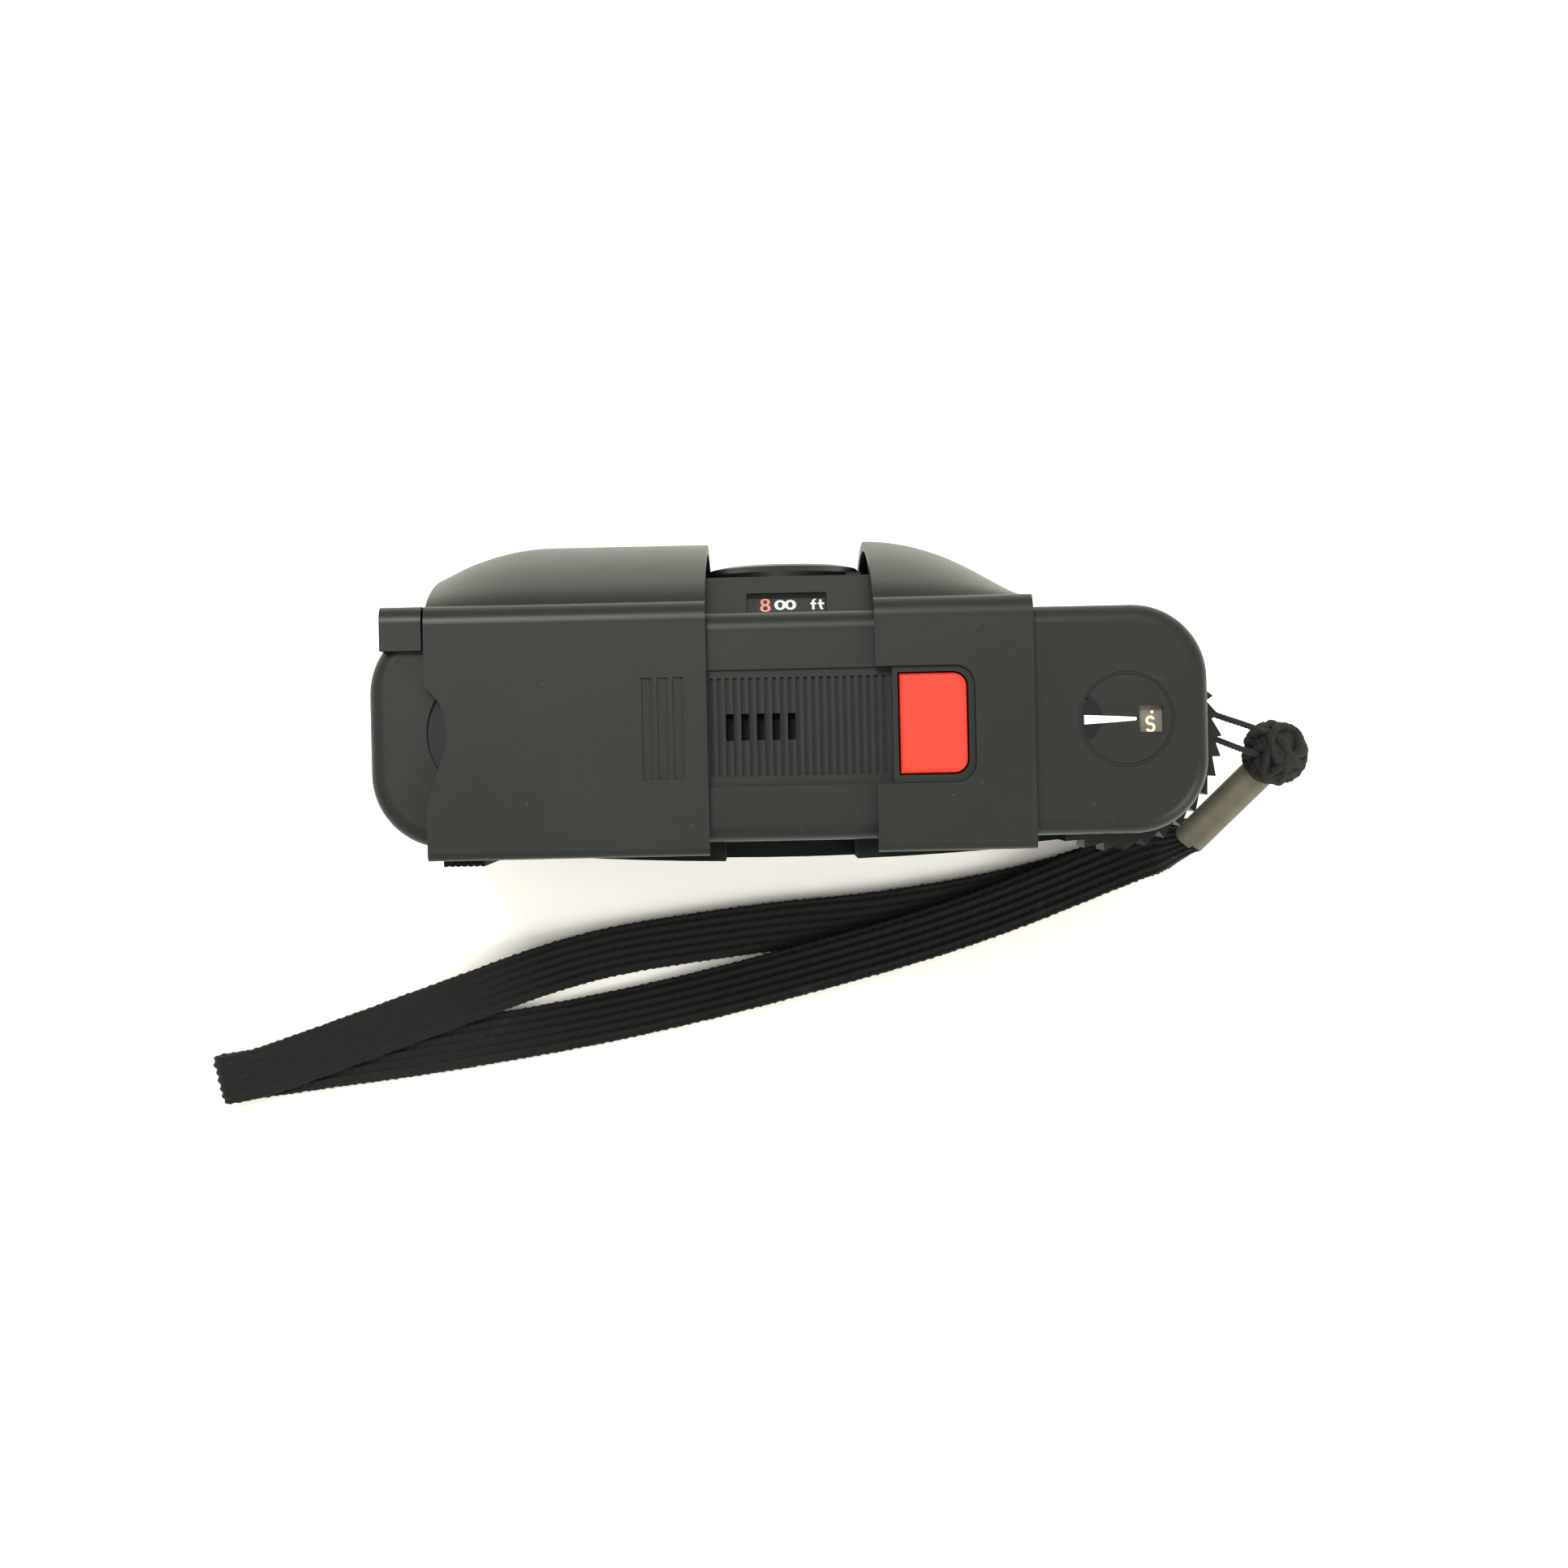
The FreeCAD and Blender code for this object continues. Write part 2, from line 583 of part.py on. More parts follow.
def dome_section(x, root, apex, half):
    """Upright closed outline of the dome at x, from its root plane to its apex."""
    steps = 12
    points = []
    for i in range(steps + 1):
        t = -math.cos(math.pi * i / steps)
        points.append(Vector(x, root + (apex - root) * (1 - t * t) ** dome_fullness, dome_mid + half * t))
    curve = Part.BSplineCurve()
    curve.interpolate(points)
    return Part.Wire([curve.toShape(), Part.makeLine(points[-1], points[0])])


def dome(x0, x1, axis, inset):
    """Dome between x0 and x1, inset by a wall, with its plan curve centred on axis."""
    sections = 12
    wires = []
    for i in range(sections + 1):
        x = x0 + (x1 - x0) * i / sections
        apex = dome_apex(x - axis) + inset
        root = cover_front + (inset + 0.7 if inset else 0.2)
        wires.append(dome_section(x, root, min(apex, root - 0.15), dome_half - inset))
    return Part.makeLoft(wires, True, False)


def cover_block(x0, x1, bottom, inset):
    block = box(x0, x1, cover_front + inset, cover_rear - inset, bottom + inset, overall_height - inset)
    front = max(cover_front_round - inset, 0.4)
    rear = max(cover_rear_round - inset, 0.2)
    for z in (bottom + inset, overall_height - inset):
        block = round_along_x(block, cover_front + inset, z, front)
        block = round_along_x(block, cover_rear - inset, z, rear)
    return block


def rear_opening(x0, x1, bottom):
    return box(x0 - 1, x1 + 1, body_rear - 0.5, cover_rear + 1, bottom + cover_wall + lip_height,
               overall_height - cover_wall - lip_height)


def make_sliding_cover():
    axis = lens_x + cover_travel
    outer = fuse(cover_block(sliding_right, sliding_left, base_lift, 0.0),
                 dome(sliding_right, sliding_left, axis, 0.0))
    tools = [
        cover_block(sliding_right - 1, sliding_left + 1, base_lift, cover_wall),
        dome(sliding_right - 0.5, sliding_left - cover_wall, axis, cover_wall),
        rear_opening(sliding_right, sliding_left, base_lift),
        post(rewind_x, body_mid, crank_relief, -1, base_lift + cover_wall + 1),
        finger_notch(),
    ]
    for i in range(grip_count):
        x = sliding_right + grip_from_edge + i * grip_pitch + 0.1
        tools.append(box(x - grip_width / 2, x + grip_width / 2, body_mid - grip_length / 2,
                         body_mid + grip_length / 2, overall_height - grip_depth, overall_height + 1))
    return cut(outer, *tools)


def finger_notch():
    """Shallow notch in the left edge of the sliding cover's top, with an arc between two shoulders."""
    z0 = overall_height - 5
    shoulder = notch_half + 2.0
    out = Vector(sliding_left + 1, body_mid - shoulder, z0)
    a = Vector(sliding_left, body_mid - shoulder, z0)
    b = Vector(sliding_left - notch_shoulder, body_mid - notch_half, z0)
    mid = Vector(sliding_left - notch_depth, body_mid, z0)
    c = Vector(sliding_left - notch_shoulder, body_mid + notch_half, z0)
    d = Vector(sliding_left, body_mid + shoulder + 3.0, z0)
    back = Vector(sliding_left + 1, body_mid + shoulder + 3.0, z0)
    edges = [Part.makeLine(out, a), Part.makeLine(a, b), Part.Arc(b, mid, c).toShape(), Part.makeLine(c, d),
             Part.makeLine(d, back), Part.makeLine(back, out)]
    return Part.Face(Part.Wire(edges)).extrude(Vector(0, 0, 10))


def make_fixed_cover():
    outer = fuse(cover_block(fixed_right, fixed_left, 0.0, 0.0), dome(fixed_right, fixed_left, lens_x, 0.0))
    inner = box(fixed_right - 1, fixed_left + 1, body_front, body_rear, body_bottom, body_top)
    tools = [
        inner, dome(fixed_right + 0.5, fixed_left + 0.5, lens_x, cover_wall),
        rear_opening(fixed_right, fixed_left, 0.0),
        recess_block(body_top - 1, overall_height + 1).common(
            box(fixed_right, fixed_left + 30, cover_front, cover_rear, body_top - 1, overall_height + 1)),
        post(tripod_x, body_mid, tripod_radius + tripod_wall, -1, body_bottom + 1),
        post(sprocket_x, sprocket_y, 1.5 + running_gap, -1, body_bottom + 1),
    ]
    return cut(outer, *tools)


def make_cover_stop():
    x0 = sliding_left + stop_gap
    bar = box(x0, x0 + stop_width, cover_front, cover_front + stop_depth, 0, overall_height - 0.3)
    bar = round_along_x(bar, cover_front, overall_height - 0.3, cover_front_round - 0.3)
    bar = round_along_x(bar, cover_front, 0, cover_front_round - 0.3)
    solid_body = round_level(round_level(body_block(body_bottom, body_top), body_top, edge_round),
                             body_bottom, edge_round * 0.6)
    return bar.cut(solid_body)


# ---- lens and shutter ------------------------------------------------------------------------------
def turned(points, x, z):
    """Solid of revolution about a line along Y from (radius, y) points."""
    outline = Part.makePolygon([Vector(x + r, y, z) for r, y in (*points, points[0])])
    return Part.Face(outline).revolve(Vector(x, 0, z), Vector(0, 1, 0), 360)


def make_lens_bezel():
    hole = front_lens_radius + cell_wall + running_gap
    front = panel_front - bezel_depth
    points = [(hole, panel_front), (bezel_radius, panel_front), (bezel_radius, front + 1.1),
              (bezel_radius - 0.7, front + 0.35), (hole + 0.5, front), (hole, front + 0.2)]
    return turned(points, lens_x, lens_height)


def make_front_lens_cell():
    outer = front_lens_radius + cell_wall
    front = panel_front - bezel_depth + 0.3
    back = body_front + 0.4
    points = [(front_lens_radius - 0.8, back), (outer, back), (outer, front),
              (front_lens_radius + 0.2, front), (front_lens_radius, front + 1.0),
              (front_lens_radius, front + 3.45), (front_lens_radius - 0.8, front + 3.45)]
    return turned(points, lens_x, lens_height)


def ball(radius, y):
    return Part.makeSphere(radius, Vector(lens_x, y, lens_height))


def lens_element(radius, y0, y1, bulge):
    """Round glass between y0 and y1 at its rim, with faces that bulge, or are hollow if bulge is negative."""
    sag = abs(bulge)
    curve = (radius ** 2 + sag ** 2) / (2 * sag)
    if bulge < 0:
        disc = barrel(lens_x, lens_height, radius, y0, y1)
        return cut(disc, ball(curve, y0 + sag - curve), ball(curve, y1 - sag + curve))
    disc = barrel(lens_x, lens_height, radius, y0 - 2 * sag, y1 + 2 * sag)
    return disc.common(ball(curve, y0 - sag + curve)).common(ball(curve, y1 + sag - curve))


def make_rear_lens_cell():
    outer = rear_lens_radius + cell_wall
    points = [(rear_lens_radius, body_front + 4.8), (outer, body_front + 4.8), (outer, body_front + 9.4),
              (rear_lens_radius - 0.6, body_front + 9.4), (rear_lens_radius - 0.6, body_front + 8.6),
              (rear_lens_radius, body_front + 8.6)]
    return turned(points, lens_x, lens_height)


def make_shutter_plate():
    ring = tube(lens_x, lens_height, shutter_pocket - 0.1, 4.4, body_front + 3.8, body_front + 4.8)
    pins = [barrel(lens_x + side * blade_reach, lens_height, 0.6, body_front + 1.6, body_front + 4.0)
            for side in (-1, 1)]
    return fuse(ring, *pins)


def make_shutter_blade(side, level):
    y0 = body_front + level
    y1 = y0 + blade_thick
    leaf = barrel(lens_x, lens_height, blade_radius, y0, y1)
    eye = barrel(lens_x + side * blade_reach, lens_height, 1.5, y0, y1)
    arm = box(min(lens_x, lens_x + side * blade_reach), max(lens_x, lens_x + side * blade_reach), y0, y1,
              lens_height - 1.2, lens_height + 1.2)
    hole = barrel(lens_x + side * blade_reach, lens_height, 0.6 + running_gap, y0 - 1, y1 + 1)
    return fuse(leaf, eye, arm).cut(hole)


def make_focus_ring():
    inner = front_lens_radius + cell_wall + running_gap
    ring = tube(lens_x, lens_height, ring_radius, inner, panel_front + panel_wall + slide_gap,
                panel_front + panel_wall + slide_gap + 1.6)
    back = panel_front + panel_wall + slide_gap + 1.0
    half = focus_tab_width / 2
    arm = box(lens_x - half, lens_x + half, panel_front + panel_wall + slide_gap, back + 0.6,
              lens_height - focus_tab_radius, lens_height - ring_radius + 0.8)
    tab = box(lens_x - half, lens_x + half, panel_front - 1.7, back,
              lens_height - focus_tab_radius, lens_height - ring_radius - 0.7)
    return fuse(ring, arm, tab)


def make_aperture_lever():
    z = aperture_height
    stem = box(lens_x - 9.0, lens_x - 8.4, panel_front - 0.3, panel_front + panel_wall + 0.5,
               z - 1.2, z + 1.2)
    knob = box(lens_x - 9.6, lens_x - 7.8, panel_front - 0.8, panel_front - 0.3, z - 1.8, z + 1.8)
    shoe = box(lens_x - 9.9, lens_x - 7.6, panel_front + panel_wall + 0.3, panel_front + panel_wall + 0.9,
               z - 2.0, z + 2.0)
    return fuse(stem, knob, shoe)


def make_film_speed_lever():
    z = speed_height
    stem = box(lens_x - 1.2, lens_x + 1.2, panel_front - 0.3, panel_front + panel_wall + 0.5,
               z - 0.3, z + 0.3)
    knob = box(lens_x - 1.8, lens_x + 1.8, panel_front - 0.7, panel_front - 0.3, z - 0.8, z + 0.8)
    shoe = box(lens_x - 2.0, lens_x + 2.0, panel_front + panel_wall + 0.3, panel_front + panel_wall + 0.8,
               z - 0.9, z + 0.9)
    return fuse(stem, knob, shoe)


# ---- finder and meter ------------------------------------------------------------------------------
def make_viewfinder_window():
    return box(lens_x - 4.6, lens_x + 5.4, panel_front + 0.2, panel_front + panel_wall,
               finder_height - finder_half, finder_height + finder_half)


def make_viewfinder_eyepiece():
    return box(lens_x - tunnel_half[0], lens_x + tunnel_half[0], body_rear - 1.2, body_rear,
               finder_height - tunnel_half[1], finder_height + tunnel_half[1])


def make_beam_splitter():
    corners = [(lens_x - 1.4, body_mid - 2.2), (lens_x + 3.0, body_mid + 2.2), (lens_x - 1.4, body_mid + 2.2)]
    return plate(corners, finder_height - tunnel_half[1], finder_height + 1.7)


def make_rangefinder_mirror():
    y = body_front - 1.6
    hub = post(mirror_x, y, 0.8, finder_height - 3.3, finder_height + 1.9)
    leaf = box(mirror_x - 1.2, mirror_x + 1.2, y - 0.3, y + 0.3, finder_height - 1.8, finder_height + 1.8)
    return fuse(hub, leaf)


def make_rangefinder_window():
    return barrel(mirror_x, finder_height, 1.5, panel_front + 0.2, panel_front + panel_wall)


def make_meter_window():
    return barrel(mirror_x, meter_height, 1.8, panel_front + 0.2, panel_front + panel_wall)


def make_meter_cell():
    return barrel(mirror_x, meter_height, 1.6, panel_front + panel_wall, panel_front + panel_wall + 1.5)


# ---- top controls and electronics ------------------------------------------------------------------
def make_shutter_button():
    cap = button_block(0.0, body_top - top_skin - 1.0, overall_height - 0.15)
    top = [e for e in cap.Edges if abs(e.BoundBox.ZMin - overall_height + 0.15) < 1e-3]
    cap = cap.makeFillet(0.5, top)
    stem = post(button_x, body_mid, 1.5, case_top + board_thick + button_travel + 0.1,
                body_top - top_skin - 0.9)
    return fuse(cap, stem)


def make_counter_plate():
    disc = post(counter_x, body_mid, counter_radius, body_top - 1.0, body_top - 0.05)
    window = box(counter_x - 4.35, counter_x - 1.5, body_mid - 1.55, body_mid + 1.6, body_top - 2, body_top)
    groove = post(counter_x, body_mid, counter_radius - 0.2, body_top - 0.2, body_top).cut(
        post(counter_x, body_mid, counter_radius - 0.4, body_top - 1, body_top + 1))
    pivot = post(counter_x, body_mid, 0.7, case_top + 1.2, body_top - 0.5)
    return fuse(disc.cut(window), pivot).cut(groove)


def make_counter_dial():
    disc = post(counter_x, body_mid, counter_radius - 0.8, body_top - 1.9, body_top - 1.3)
    return disc.cut(post(counter_x, body_mid, 0.7 + running_gap, case_top, body_top))


def make_circuit_board():
    return box(lens_x - 22.0, rewind_x + 4.0, body_mid - 8.0, body_mid + 8.0,
               case_top, case_top + board_thick)


def make_buzzer():
    x = sound_first + (sound_holes - 1) * sound_pitch / 2
    return post(x, body_mid, 5.0, case_top + board_thick, case_top + board_thick + 0.6)


# ---- film transport --------------------------------------------------------------------------------
def toothed(x, y, radius, tooth, count, lean, z0, z1, phase=0.0):
    """Disc with teeth; lean moves the tips round, so 0 is a symmetric tooth and 0.5 a saw tooth."""
    points = []
    for i in range(count):
        step = 2 * math.pi / count
        root = phase + i * step
        tip = root + step * (0.5 - lean)
        points.append((x + radius * math.cos(root), y + radius * math.sin(root)))
        points.append((x + (radius + tooth) * math.cos(tip), y + (radius + tooth) * math.sin(tip)))
    return plate(points, z0, z1)


def gear(x, y, phase, z0, z1):
    """Spur gear with thinned straight-sided teeth."""
    root = gear_tip - 1.17
    points = []
    step = 2 * math.pi / gear_teeth
    for i in range(gear_teeth):
        centre = phase + i * step
        for angle, radius in ((-0.30, root), (-0.12, gear_tip), (0.12, gear_tip), (0.30, root)):
            a = centre + angle * step
            points.append((x + radius * math.cos(a), y + radius * math.sin(a)))
    return plate(points, z0, z1)


def make_advance_wheel():
    rim = toothed(wheel_x, wheel_y, wheel_radius - wheel_tooth, wheel_tooth, wheel_teeth, 0.42, wheel_bottom,
                  wheel_top)
    dish = post(wheel_x, wheel_y, wheel_radius - 3.5, wheel_top - 1.6, wheel_top + 1)
    hub = post(wheel_x, wheel_y, 2.6, wheel_bottom, wheel_top - 0.2)
    return fuse(rim.cut(dish), hub).cut(post(wheel_x, wheel_y, shaft_radius, wheel_bottom - 1, wheel_top + 1))


def make_advance_shaft():
    return post(wheel_x, wheel_y, shaft_radius, case_bottom + 0.8, wheel_top)


def gear_line():
    """Direction from the spool's axis to the sprocket's."""
    return math.atan2(sprocket_y - wheel_y, sprocket_x - wheel_x)


def make_takeup_spool():
    z0 = chamber_floor + 0.4
    core = post(wheel_x, wheel_y, spool_radius, z0 + gear_thick, wheel_bottom - 2.8)
    teeth = gear(wheel_x, wheel_y, gear_line(), z0, z0 + gear_thick + 0.2)
    spool = fuse(core, teeth)
    slots = []
    for i in range(6):
        slot = box(spool_radius - 1.2, spool_radius + 1, -0.6, 0.6, lens_height - 14, lens_height + 14)
        slot.rotate(Vector(0, 0, 0), Vector(0, 0, 1), 60 * i)
        slot.translate(Vector(wheel_x, wheel_y, 0))
        slots.append(slot)
    return cut(spool, post(wheel_x, wheel_y, shaft_radius + running_gap, 0, overall_height), *slots)


def make_film_sprocket():
    z0 = chamber_floor + 0.4
    half_step = math.pi / gear_teeth
    core = post(sprocket_x, sprocket_y, 3.2, z0 + gear_thick, lens_height + film_width / 2)
    teeth = gear(sprocket_x, sprocket_y, gear_line() + math.pi + half_step, z0, z0 + gear_thick + 0.2)
    pieces = [core, teeth]
    for z in (lens_height - film_width / 2 + 1.0, lens_height + film_width / 2 - 4.0):
        pieces.append(post(sprocket_x, sprocket_y, sprocket_radius, z, z + 3.0))
        pieces.append(toothed(sprocket_x, sprocket_y, sprocket_radius - 0.4, sprocket_tooth + 0.4,
                              sprocket_teeth, 0.0, z + 1.0, z + 2.0))
    pieces.append(post(sprocket_x, sprocket_y, 1.0, case_bottom + 0.6, wheel_bottom - 1.4))
    return fuse(*pieces)


def make_rewind_bush():
    return cut(post(rewind_x, body_mid, 3.0, body_bottom + 3.3, chamber_floor + 0.6),
               post(rewind_x, body_mid, 1.2 + running_gap, 0, chamber_floor + 2))


def crank_pivot():
    return Vector(rewind_x + crank_radius - 2.2, body_mid, body_bottom + 1.2)


def make_rewind_knob():
    z0 = body_bottom + 0.15
    z1 = body_bottom + 2.9
    pivot = crank_pivot()
    disc = post(rewind_x, body_mid, crank_radius, z0, z1)
    groove = box(rewind_x - crank_radius - 1, pivot.x + 1.2, body_mid - 2.1, body_mid + 2.1,
                 z0 - 1, z0 + 2.05)
    pin = Part.makeCylinder(0.5, 5.2, Vector(pivot.x, body_mid - 2.6, pivot.z), Vector(0, 1, 0))
    return fuse(disc.cut(groove), pin)


def make_rewind_fork():
    z0 = body_bottom + 2.9
    shaft = post(rewind_x, body_mid, 1.2, z0, chamber_floor + 6.0)
    cross = box(rewind_x - 2.6, rewind_x + 2.6, body_mid - 0.6, body_mid + 0.6, chamber_floor + 5.9,
                chamber_floor + 8.0)
    return fuse(shaft, cross)


def make_rewind_crank():
    pivot = crank_pivot()
    x0 = rewind_x - crank_radius + 0.6
    arm = box(x0 + 1.4, pivot.x, body_mid - 1.3, body_mid + 1.3, pivot.z - 0.3, pivot.z + 0.6)
    eye = Part.makeCylinder(0.8, 2.6, Vector(pivot.x, body_mid - 1.3, pivot.z), Vector(0, 1, 0))
    tip = post(x0 + 1.8, body_mid, 1.8, pivot.z - 0.3, pivot.z + 0.6)
    hole = Part.makeCylinder(0.5 + running_gap, 6, Vector(pivot.x, body_mid - 3, pivot.z), Vector(0, 1, 0))
    rivet = post(x0 + 1.8, body_mid, 0.5, pivot.z - 0.95, pivot.z)
    return fuse(arm, eye, tip, rivet).cut(hole)


def make_crank_grip():
    pivot = crank_pivot()
    x = rewind_x - crank_radius + 2.4
    return cut(post(x, body_mid, 1.7, pivot.z - 1.0, pivot.z - 0.35),
               post(x, body_mid, 0.5 + running_gap, 0, pivot.z + 1))


# ---- back ------------------------------------------------------------------------------------------
def make_rear_door():
    z0 = case_bottom + 0.5
    z1 = case_top - 0.4
    start = Vector(hinge_x + 1.9, body_rear, z0)
    crest = Vector(lens_x, overall_depth / 2, z0)
    end = Vector(door_left, body_rear, z0)
    back = Part.Arc(start, crest, end).toShape()
    inside_right = Vector(start.x, door_inner, z0)
    inside_left = Vector(end.x, door_inner, z0)
    outline = Part.Wire([back, Part.makeLine(end, inside_left), Part.makeLine(inside_left, inside_right),
                         Part.makeLine(inside_right, start)])
    door = Part.Face(outline).extrude(Vector(0, 0, z1 - z0))
    pad_room = box(lens_x - 22.0, lens_x + 22.0, door_inner - 1, door_inner + 1.2, lens_height - 16.0,
                   lens_height + 16.0)
    eyepiece = box(lens_x - eyepiece_half - slide_gap, lens_x + eyepiece_half + slide_gap, door_inner - 1,
                   overall_depth, finder_height - eyepiece_drop - slide_gap, z1 + 1)
    wheel_corner = box(hinge_x - 3, wheel_x + wheel_radius - 3.0, door_inner - 1, overall_depth,
                       wheel_bottom - 1.0, z1 + 1)
    knuckles = []
    for low, high in ((case_bottom + 0.5, hinge_mid() - 5.3), (hinge_mid() + 5.3, wheel_bottom - 1.0)):
        knuckles.append(post(hinge_x, hinge_y, hinge_radius, low, high))
        knuckles.append(box(hinge_x, start.x + 0.5, body_rear - 1.0, body_rear, low, high))
    ridges = []
    for i in range(ridge_count):
        x = door_left - 0.2 - i * ridge_pitch
        ridges.append(box(x - ridge_width, x, body_rear - 0.6, overall_depth / 2, ridge_from,
                          z1 - ridge_drop))
    door = cut(door, pad_room, eyepiece, wheel_corner)
    return cut(fuse(door, *knuckles, *ridges), post(hinge_x, hinge_y, 0.7 + running_gap, 0, overall_height))


def make_pressure_plate():
    return box(lens_x - 21.0, lens_x + 21.0, film_plane + 0.6, film_plane + 1.6, lens_height - 15.0,
               lens_height + 15.0)


def make_pressure_spring():
    """Bowed leaf spring between the door and the pressure plate."""
    half = 14.0
    y_low = film_plane + 1.6 + plate_float + 0.15
    y_high = door_inner + 1.2 - 0.3
    arc = [Part.Arc(Vector(lens_x - half, y_low + shift, lens_height), Vector(lens_x, y_high + shift,
                    lens_height), Vector(lens_x + half, y_low + shift, lens_height)).toShape()
           for shift in (0.0, 0.3)]
    ends = [Part.makeLine(arc[0].Vertexes[i].Point, arc[1].Vertexes[i].Point) for i in (0, 1)]
    leaf = Part.Face(Part.Wire([arc[0], ends[1], arc[1], ends[0]])).extrude(Vector(0, 0, 6))
    leaf.translate(Vector(0, 0, -3))
    return leaf


# ---- base ------------------------------------------------------------------------------------------
def make_tripod_socket():
    insert = post(tripod_x, body_mid, tripod_radius + tripod_wall, 0, tripod_depth + 0.8)
    return insert.cut(post(tripod_x, body_mid, tripod_radius, -1, tripod_depth))


def make_battery(index):
    z0 = battery_base() + index * battery_thick
    can = post(battery_x, battery_y, battery_radius, z0, z0 + battery_thick - 0.9)
    crown = post(battery_x, battery_y, battery_radius - 1.4, z0 + battery_thick - 0.9, z0 + battery_thick)
    return fuse(can, crown)


def make_battery_cap():
    cap = post(battery_x, battery_y, battery_radius + 1.15, body_bottom + 0.1, body_bottom + 2.1)
    slot = box(battery_x - 5.0, battery_x + 5.0, battery_y - 0.7, battery_y + 0.7, body_bottom - 1,
               body_bottom + 1.0)
    return cap.cut(slot)


def make_rewind_release():
    return post(sprocket_x, sprocket_y, 1.5, 0.4, case_bottom - 0.8)


def make_check_lever():
    z0 = body_bottom + 0.1
    z1 = z0 + 1.3
    arm = box(pivot_x - lever_length + 2.2, pivot_x, pivot_y - lever_width / 2, pivot_y + lever_width / 2,
              z0, z1)
    eye = post(pivot_x, pivot_y, lever_width / 2, z0, z1)
    return fuse(arm, eye).cut(post(pivot_x, pivot_y, 0.8 + running_gap, z0 - 1, z1 + 1))


# ---- strap -----------------------------------------------------------------------------------------
def lug_legs(trim):
    """The two ends of the lug's staple, from its bar into the end of the body."""
    legs = []
    for z in (lug_height - lug_half, lug_height + lug_half):
        foot = Vector(lug_x, body_mid, z)
        legs.append(Part.makeCylinder(lug_radius, lug_out + 2.0 - trim, foot, Vector(1, 0, 0)))
    return legs


def make_strap_lug():
    bar = post(lug_x, body_mid, lug_radius, lug_height - lug_half, lug_height + lug_half)
    bends = [Part.makeSphere(lug_radius, Vector(lug_x, body_mid, z))
             for z in (lug_height - lug_half, lug_height + lug_half)]
    return fuse(bar, *bends, *lug_legs(0.3))


def route(points, label):
    """Straight runs joined by tangent arcs, each as large as its two runs allow."""
    p = [Vector(*q) for q in points]
    edges = []
    radii = []
    start = p[0]
    for i in range(1, len(p) - 1):
        back = p[i - 1] - p[i]
        ahead = p[i + 1] - p[i]
        turn = math.pi - back.getAngle(ahead)
        radius = 0.45 * min(back.Length, ahead.Length) / math.tan(turn / 2)
        reach = radius * math.tan(turn / 2)
        back.normalize()
        ahead.normalize()
        a = p[i] + back * reach
        b = p[i] + ahead * reach
        middle = (back + ahead).normalize()
        top = p[i] + middle * (radius / math.cos(turn / 2) - radius)
        edges.append(Part.LineSegment(start, a).toShape())
        edges.append(Part.Arc(a, top, b).toShape())
        radii.append(round(radius, 1))
        start = b
    edges.append(Part.LineSegment(start, p[-1]).toShape())
    print(label, "length", round(sum(e.Length for e in edges), 1), "radii", radii)
    return edges


def band_section(point, direction, across, width, thick):
    """Flat rectangular section at a point, square to a direction."""
    side = across.normalize()
    rise = direction.cross(side).normalize()
    corners = [point + side * (sx * width / 2) + rise * (sz * thick / 2)
               for sx, sz in ((-1, -1), (1, -1), (1, 1), (-1, 1), (-1, -1))]
    return Part.makePolygon(corners)


def backwards(edges):
    """The same lines and arcs from the far end."""
    turned_round = []
    for e in reversed(edges):
        a, b = e.FirstParameter, e.LastParameter
        if isinstance(e.Curve, Part.Circle):
            turned_round.append(Part.Arc(e.valueAt(b), e.valueAt((a + b) / 2), e.valueAt(a)).toShape())
        else:
            turned_round.append(Part.makeLine(e.valueAt(b), e.valueAt(a)))
    return turned_round


def flat_sweep(edges, across):
    """Flat strap along edges, square to them, starting with its width along across."""
    start = edges[0].valueAt(edges[0].FirstParameter)
    ahead = edges[0].tangentAt(edges[0].FirstParameter)
    section = band_section(start, ahead, across, strap_width, strap_thick)
    return Part.Wire(edges).makePipeShell([section], True, False)


def make_lug_cord():
    wire = Part.Wire(route(lug_cord_points, "lug_cord"))
    first = Vector(*lug_cord_points[0])
    ahead = Vector(*lug_cord_points[1]) - first
    ring = Part.Wire(Part.makeCircle(lug_cord_diameter / 2, first, ahead))
    pipe = wire.makePipeShell([ring], True, True)
    print("lug_cord volume", round(pipe.Volume, 2), "section x length",
          round(math.pi * lug_cord_diameter ** 2 / 4 * wire.Length, 2))
    return pipe


def make_strap_knot():
    return Part.makeSphere(knot_radius, Vector(*knot_centre))


def make_strap_sleeve():
    a = Vector(*sleeve_points[0])
    b = Vector(*sleeve_points[1])
    ahead = (b - a).normalize()
    across = ahead.cross(Vector(0, 0, 1))
    face = Part.Face(band_section(a, ahead, across, sleeve_width, sleeve_thick))
    block = face.extrude(b - a)
    long_edges = [e for e in block.Edges if abs(e.Length - (b - a).Length) < 1e-3]
    return block.makeFillet(1.5, long_edges).cut(make_strap_knot())


def make_strap(stretch):
    """One stretch of the strap: the lower leg, the flat fold at its far end, or the upper leg back.

    Each leg is swept from the fold, where the strap lies level, so any twist is up at the sleeve.
    """
    edges = route(strap_points, "wrist_strap")
    first = 2 * strap_fold_at - 1
    across = edges[first].tangentAt(edges[first].FirstParameter).cross(Vector(0, 0, 1))
    last = first + 3
    stretches = {"lower": backwards(edges[:first]), "fold": edges[first:last], "upper": edges[last:]}
    path = stretches[stretch]
    band = flat_sweep(path, across)
    print("strap", stretch, "volume", round(band.Volume, 1), "section x length",
          round(strap_width * strap_thick * sum(e.Length for e in path), 1))
    return band


